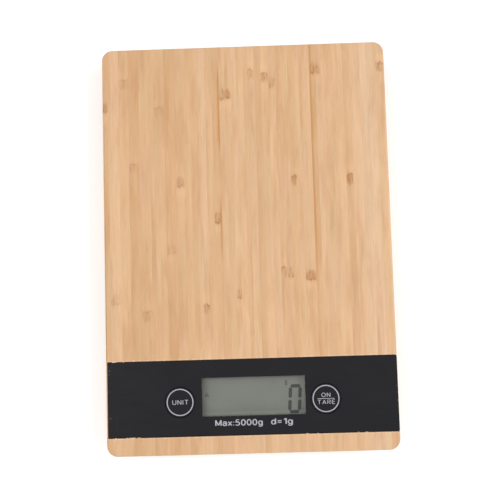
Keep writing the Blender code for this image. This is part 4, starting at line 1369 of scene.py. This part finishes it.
@dataclass
class BatteryBay:
    """The coin cell, its contacts, and the door that tilts out over them."""

    thickness: float = 1.4 * MM
    gap: float = 0.35 * MM
    tab: Pair = (4 * MM, 2.4 * MM)
    bead: Pair = (5 * MM, 1 * MM)
    slit: Pair = (0.8 * MM, 7 * MM)
    rib: Pair = (9 * MM, 0.7 * MM)
    arrow: float = 2.4 * MM
    radius: float = 10 * MM
    shoulder: float = 0.5 * MM
    seal: float = 1.2 * MM

    def build(self) -> None:
        """Makes the door and the cell, and finishes the contacts."""
        present("battery_door_moulded", self._door(), HOUSING, "battery_door", "battery_door")
        plated = Metal("nickel-plated steel", "nickel_strip", (0.66, 0.64, 0.58), 0.25, 0.05)
        present("coin_cell_pressed", self._cell(), plated, PLATFORM, "coin_cell")
        dress(plated, "battery_positive_contact", "battery_negative_contact")

    def _door(self) -> BMesh:
        """The door: a plate with a snap tongue, two tabs, a recessed grip and an arrow."""
        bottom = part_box("battery_door")[0].z
        below, top = bottom - PAST, bottom + self.thickness
        half = BAY_SIZE[0] / 2 - self.gap
        rear = BAY_MIDDLE[1] + BAY_SIZE[1] / 2 - self.gap
        front = rear - BAY_SIZE[1] + 2 * self.gap + 0.3 * MM
        door = slab((-half, front, bottom), (half, rear, top), 0.6 * MM, 4)
        bevel(door, rim(door, bottom), 0.2 * MM, 2)
        tabs = [plate((side * 7 * MM, rear + 0.2 * MM), self.tab, bottom + 1.1 * MM, bottom + 1.9 * MM)
                for side in SIDES]
        bead = plate((0, front + 0.2 * MM), self.bead, bottom + 0.7 * MM, bottom + 1.2 * MM)
        door = cut(door, bead, *tabs, operation="UNION")
        slits = [plate((side * 4 * MM, front + 2.5 * MM), self.slit, below, top + PAST) for side in SIDES]
        ribs = [plate((0, front + (8.6 + 1.5 * i) * MM), self.rib, below, bottom + 0.35 * MM, 0.3 * MM)
                for i in range(4)]
        arrow = bmesh.new()
        wedge(arrow, self.arrow, 2 * MM)
        bmesh.ops.rotate(arrow, matrix=Matrix.Rotation(math.pi, 3, "Z"), verts=arrow.verts)
        shift(arrow, (0, front + 18.4 * MM, bottom - 0.7 * MM))
        return cut(door, *slits, *ribs, arrow)

    def _cell(self) -> BMesh:
        """The coin cell, with a plus pressed into the face that the door uncovers."""
        low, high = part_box("coin_cell")
        middle = (low + high) / 2
        edge, inner, step = self.radius, self.radius - self.seal, high.z - self.shoulder
        profile = [(0, low.z), (8.2 * MM, low.z), (8.4 * MM, low.z + 0.1 * MM), (8.8 * MM, low.z + 0.1 * MM),
                   (9.0 * MM, low.z), *bent_foot(edge, low.z, 0.3 * MM), (edge, step), (inner, step),
                   (inner, high.z - 0.15 * MM), (inner - 0.15 * MM, high.z), (0, high.z)]
        plus = cross((middle.x, middle.y + 4 * MM), 4 * MM, 0.8 * MM, low.z - PAST, low.z + 0.12 * MM)
        return cut(turned(profile, middle, 96), plus)


@dataclass
class Foot:
    """One foot: a grooved rubber pad on a cup that bears a load cell, under a bracket."""

    name: str
    rail: Pair = (4 * MM, 15 * MM)
    rail_spread: float = 6.9 * MM
    neck: float = 7.5 * MM
    flange: float = 11.8 * MM
    rounding: float = 0.35 * MM
    groove_depth: float = 0.35 * MM

    def build(self) -> None:
        """Makes the foot's pieces."""
        body = f"foot_{self.name}"
        middle = middle_of(f"foot_pad_{self.name}")
        rubber = Plastic("grey rubber", "rubber", srgb(52, 52, 54), 0.75, 0.2 * MM)
        present(f"foot_pad_{self.name}_grooved", self._pad(middle), rubber, body, f"foot_pad_{self.name}")
        cup = Plastic("cup plastic", "housing_plastic", srgb(32, 32, 34), 0.45)
        present(f"foot_cup_{self.name}_moulded", self._cup(middle), cup, body, f"foot_cup_{self.name}")
        dress(Metal("cell steel", "steel", (0.5, 0.5, 0.5), 0.4), f"load_cell_{self.name}")
        dress(cup, f"cell_bracket_{self.name}")

    def _pad(self, middle: Vector) -> BMesh:
        """The pad: a disc with two ring grooves in the face it stands on."""
        low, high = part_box(f"foot_pad_{self.name}")
        radius = (high.x - low.x) / 2
        floor = low.z + self.groove_depth
        profile = [(0, low.z)]
        for near in (3.0 * MM, 5.2 * MM):
            profile += [(near, low.z), (near + 0.2 * MM, floor), (near + 0.7 * MM, floor),
                        (near + 0.9 * MM, low.z)]
        rims = [*bent_foot(radius, low.z, self.rounding), *bent_head(radius, high.z, self.rounding)]
        return turned([*profile, *rims, (0, high.z)], middle, 96)

    def _cup(self, middle: Vector) -> BMesh:
        """The cup: a neck, a flange and two rails."""
        low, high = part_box(f"foot_cup_{self.name}")
        under, over = 4.9 * MM, 6.1 * MM
        bend = 0.2 * MM
        profile = [(0, low.z), (self.neck - bend, low.z), (self.neck, low.z + bend), (self.neck, under),
                   (self.flange - bend, under), (self.flange, under + bend), (self.flange, over - bend),
                   (self.flange - bend, over), (0, over)]
        rails = [plate((middle.x + side * self.rail_spread, middle.y), self.rail, over - 0.5 * MM, high.z)
                 for side in SIDES]
        return cut(turned(profile, middle, 64), *rails, operation="UNION")


@dataclass
class Leads:
    """The insulated leads from the load cells and the battery's contacts."""

    def build(self) -> None:
        """Gives each lead its finish."""
        grey = Plastic("grey insulation", "grey_insulation", srgb(172, 172, 172), 0.5, 0.15 * MM)
        red = Plastic("red insulation", "red_insulation", srgb(192, 44, 34), 0.45, 0.15 * MM)
        black = Plastic("black insulation", "black_insulation", srgb(34, 34, 34), 0.45, 0.15 * MM)
        dress(grey, *(f"cell_lead_{name}" for name in FOOT_NAMES))
        dress(red, "battery_lead_positive")
        dress(black, "battery_lead_negative")


# --- studio


@dataclass
class Studio:
    """The floor, the soft lights and the camera."""

    camera_place: Point = (5.31 * MM, -24.27 * MM, 354.38 * MM)
    camera_turn: Point = (3.665, 0.797, -1.674)
    lens: float = 43.2
    sky: float = 0.62
    floor_reach: float = 12.0
    light_size: float = 0.9
    lights: Tuple[Tuple[str, Point, float], ...] = (
        ("key light", (1.15, 0.14, 0.98), 9.7),
        ("fill light", (-0.90, 0.15, 1.05), 6.2),
        ("front light", (0.1, -1.15, 0.8), 2.4),
    )

    def build(self) -> None:
        """Sets the scene's stage."""
        self._floor()
        for light in self.lights:
            self._light(*light)
        self._world()
        self._camera()
        bpy.context.scene.view_settings.view_transform = "Standard"

    def _floor(self) -> None:
        """A broad flat floor."""
        shape = bmesh.new()
        bmesh.ops.create_grid(shape, x_segments=1, y_segments=1, size=self.floor_reach)
        floor = placed("studio_floor", shape)
        floor.data.materials.append(Paper("white paper", "").material())

    def _light(self, name: str, place: Point, power: float) -> None:
        """A square soft light that faces the scale."""
        lamp = bpy.data.lights.new(name, "AREA")
        lamp.size = self.light_size
        lamp.energy = power
        light = bpy.data.objects.new(name, lamp)
        light.location = place
        light.rotation_euler = (-Vector(place)).to_track_quat("-Z", "Y").to_euler()
        bpy.context.scene.collection.objects.link(light)

    def _world(self) -> None:
        """An even, dim white all round."""
        world = bpy.data.worlds.new("studio")
        world.use_nodes = True
        background = world.node_tree.nodes["Background"]
        background.inputs["Color"].default_value = (1.0, 1.0, 1.0, 1.0)
        background.inputs["Strength"].default_value = self.sky
        bpy.context.scene.world = world

    def _camera(self) -> None:
        """A camera above the scale, turned a little."""
        data = bpy.data.cameras.new("camera")
        data.lens = self.lens
        data.sensor_width = 36.0
        data.clip_start = 0.01
        camera = bpy.data.objects.new("camera", data)
        camera.location = self.camera_place
        camera.rotation_euler = Euler([math.radians(a) for a in self.camera_turn], "XYZ")
        bpy.context.scene.collection.objects.link(camera)
        bpy.context.scene.camera = camera


# --- assembly


UNIT_WORDS = (PrintedWord("UNIT", (0.1 * MM, 0.0), (8.8 * MM, 2.6 * MM)),)
TARE_WORDS = (
    PrintedWord("ON", (0.0, 2.0 * MM), (5.0 * MM, 2.4 * MM)),
    PrintedWord("TARE", (0.1 * MM, -1.9 * MM), (9.4 * MM, 2.4 * MM)),
)


def main() -> None:
    """Builds every sub-assembly in order."""
    logging.basicConfig(level=logging.INFO, format="%(name)s: %(message)s")
    feet = [Foot(name) for name in FOOT_NAMES]
    keys = [Key("unit", UNIT_WORDS), Key("tare", TARE_WORDS, rule=9.4 * MM)]
    for assembly in (Board(), DisplayPanel(), *keys, Display(), Electronics(), BaseCover(), BaseScrews(),
                     BatteryBay(), *feet, Leads(), Studio()):
        LOG.info("%s", type(assembly).__name__)
        assembly.build()


if __name__ == "__main__":
    main()
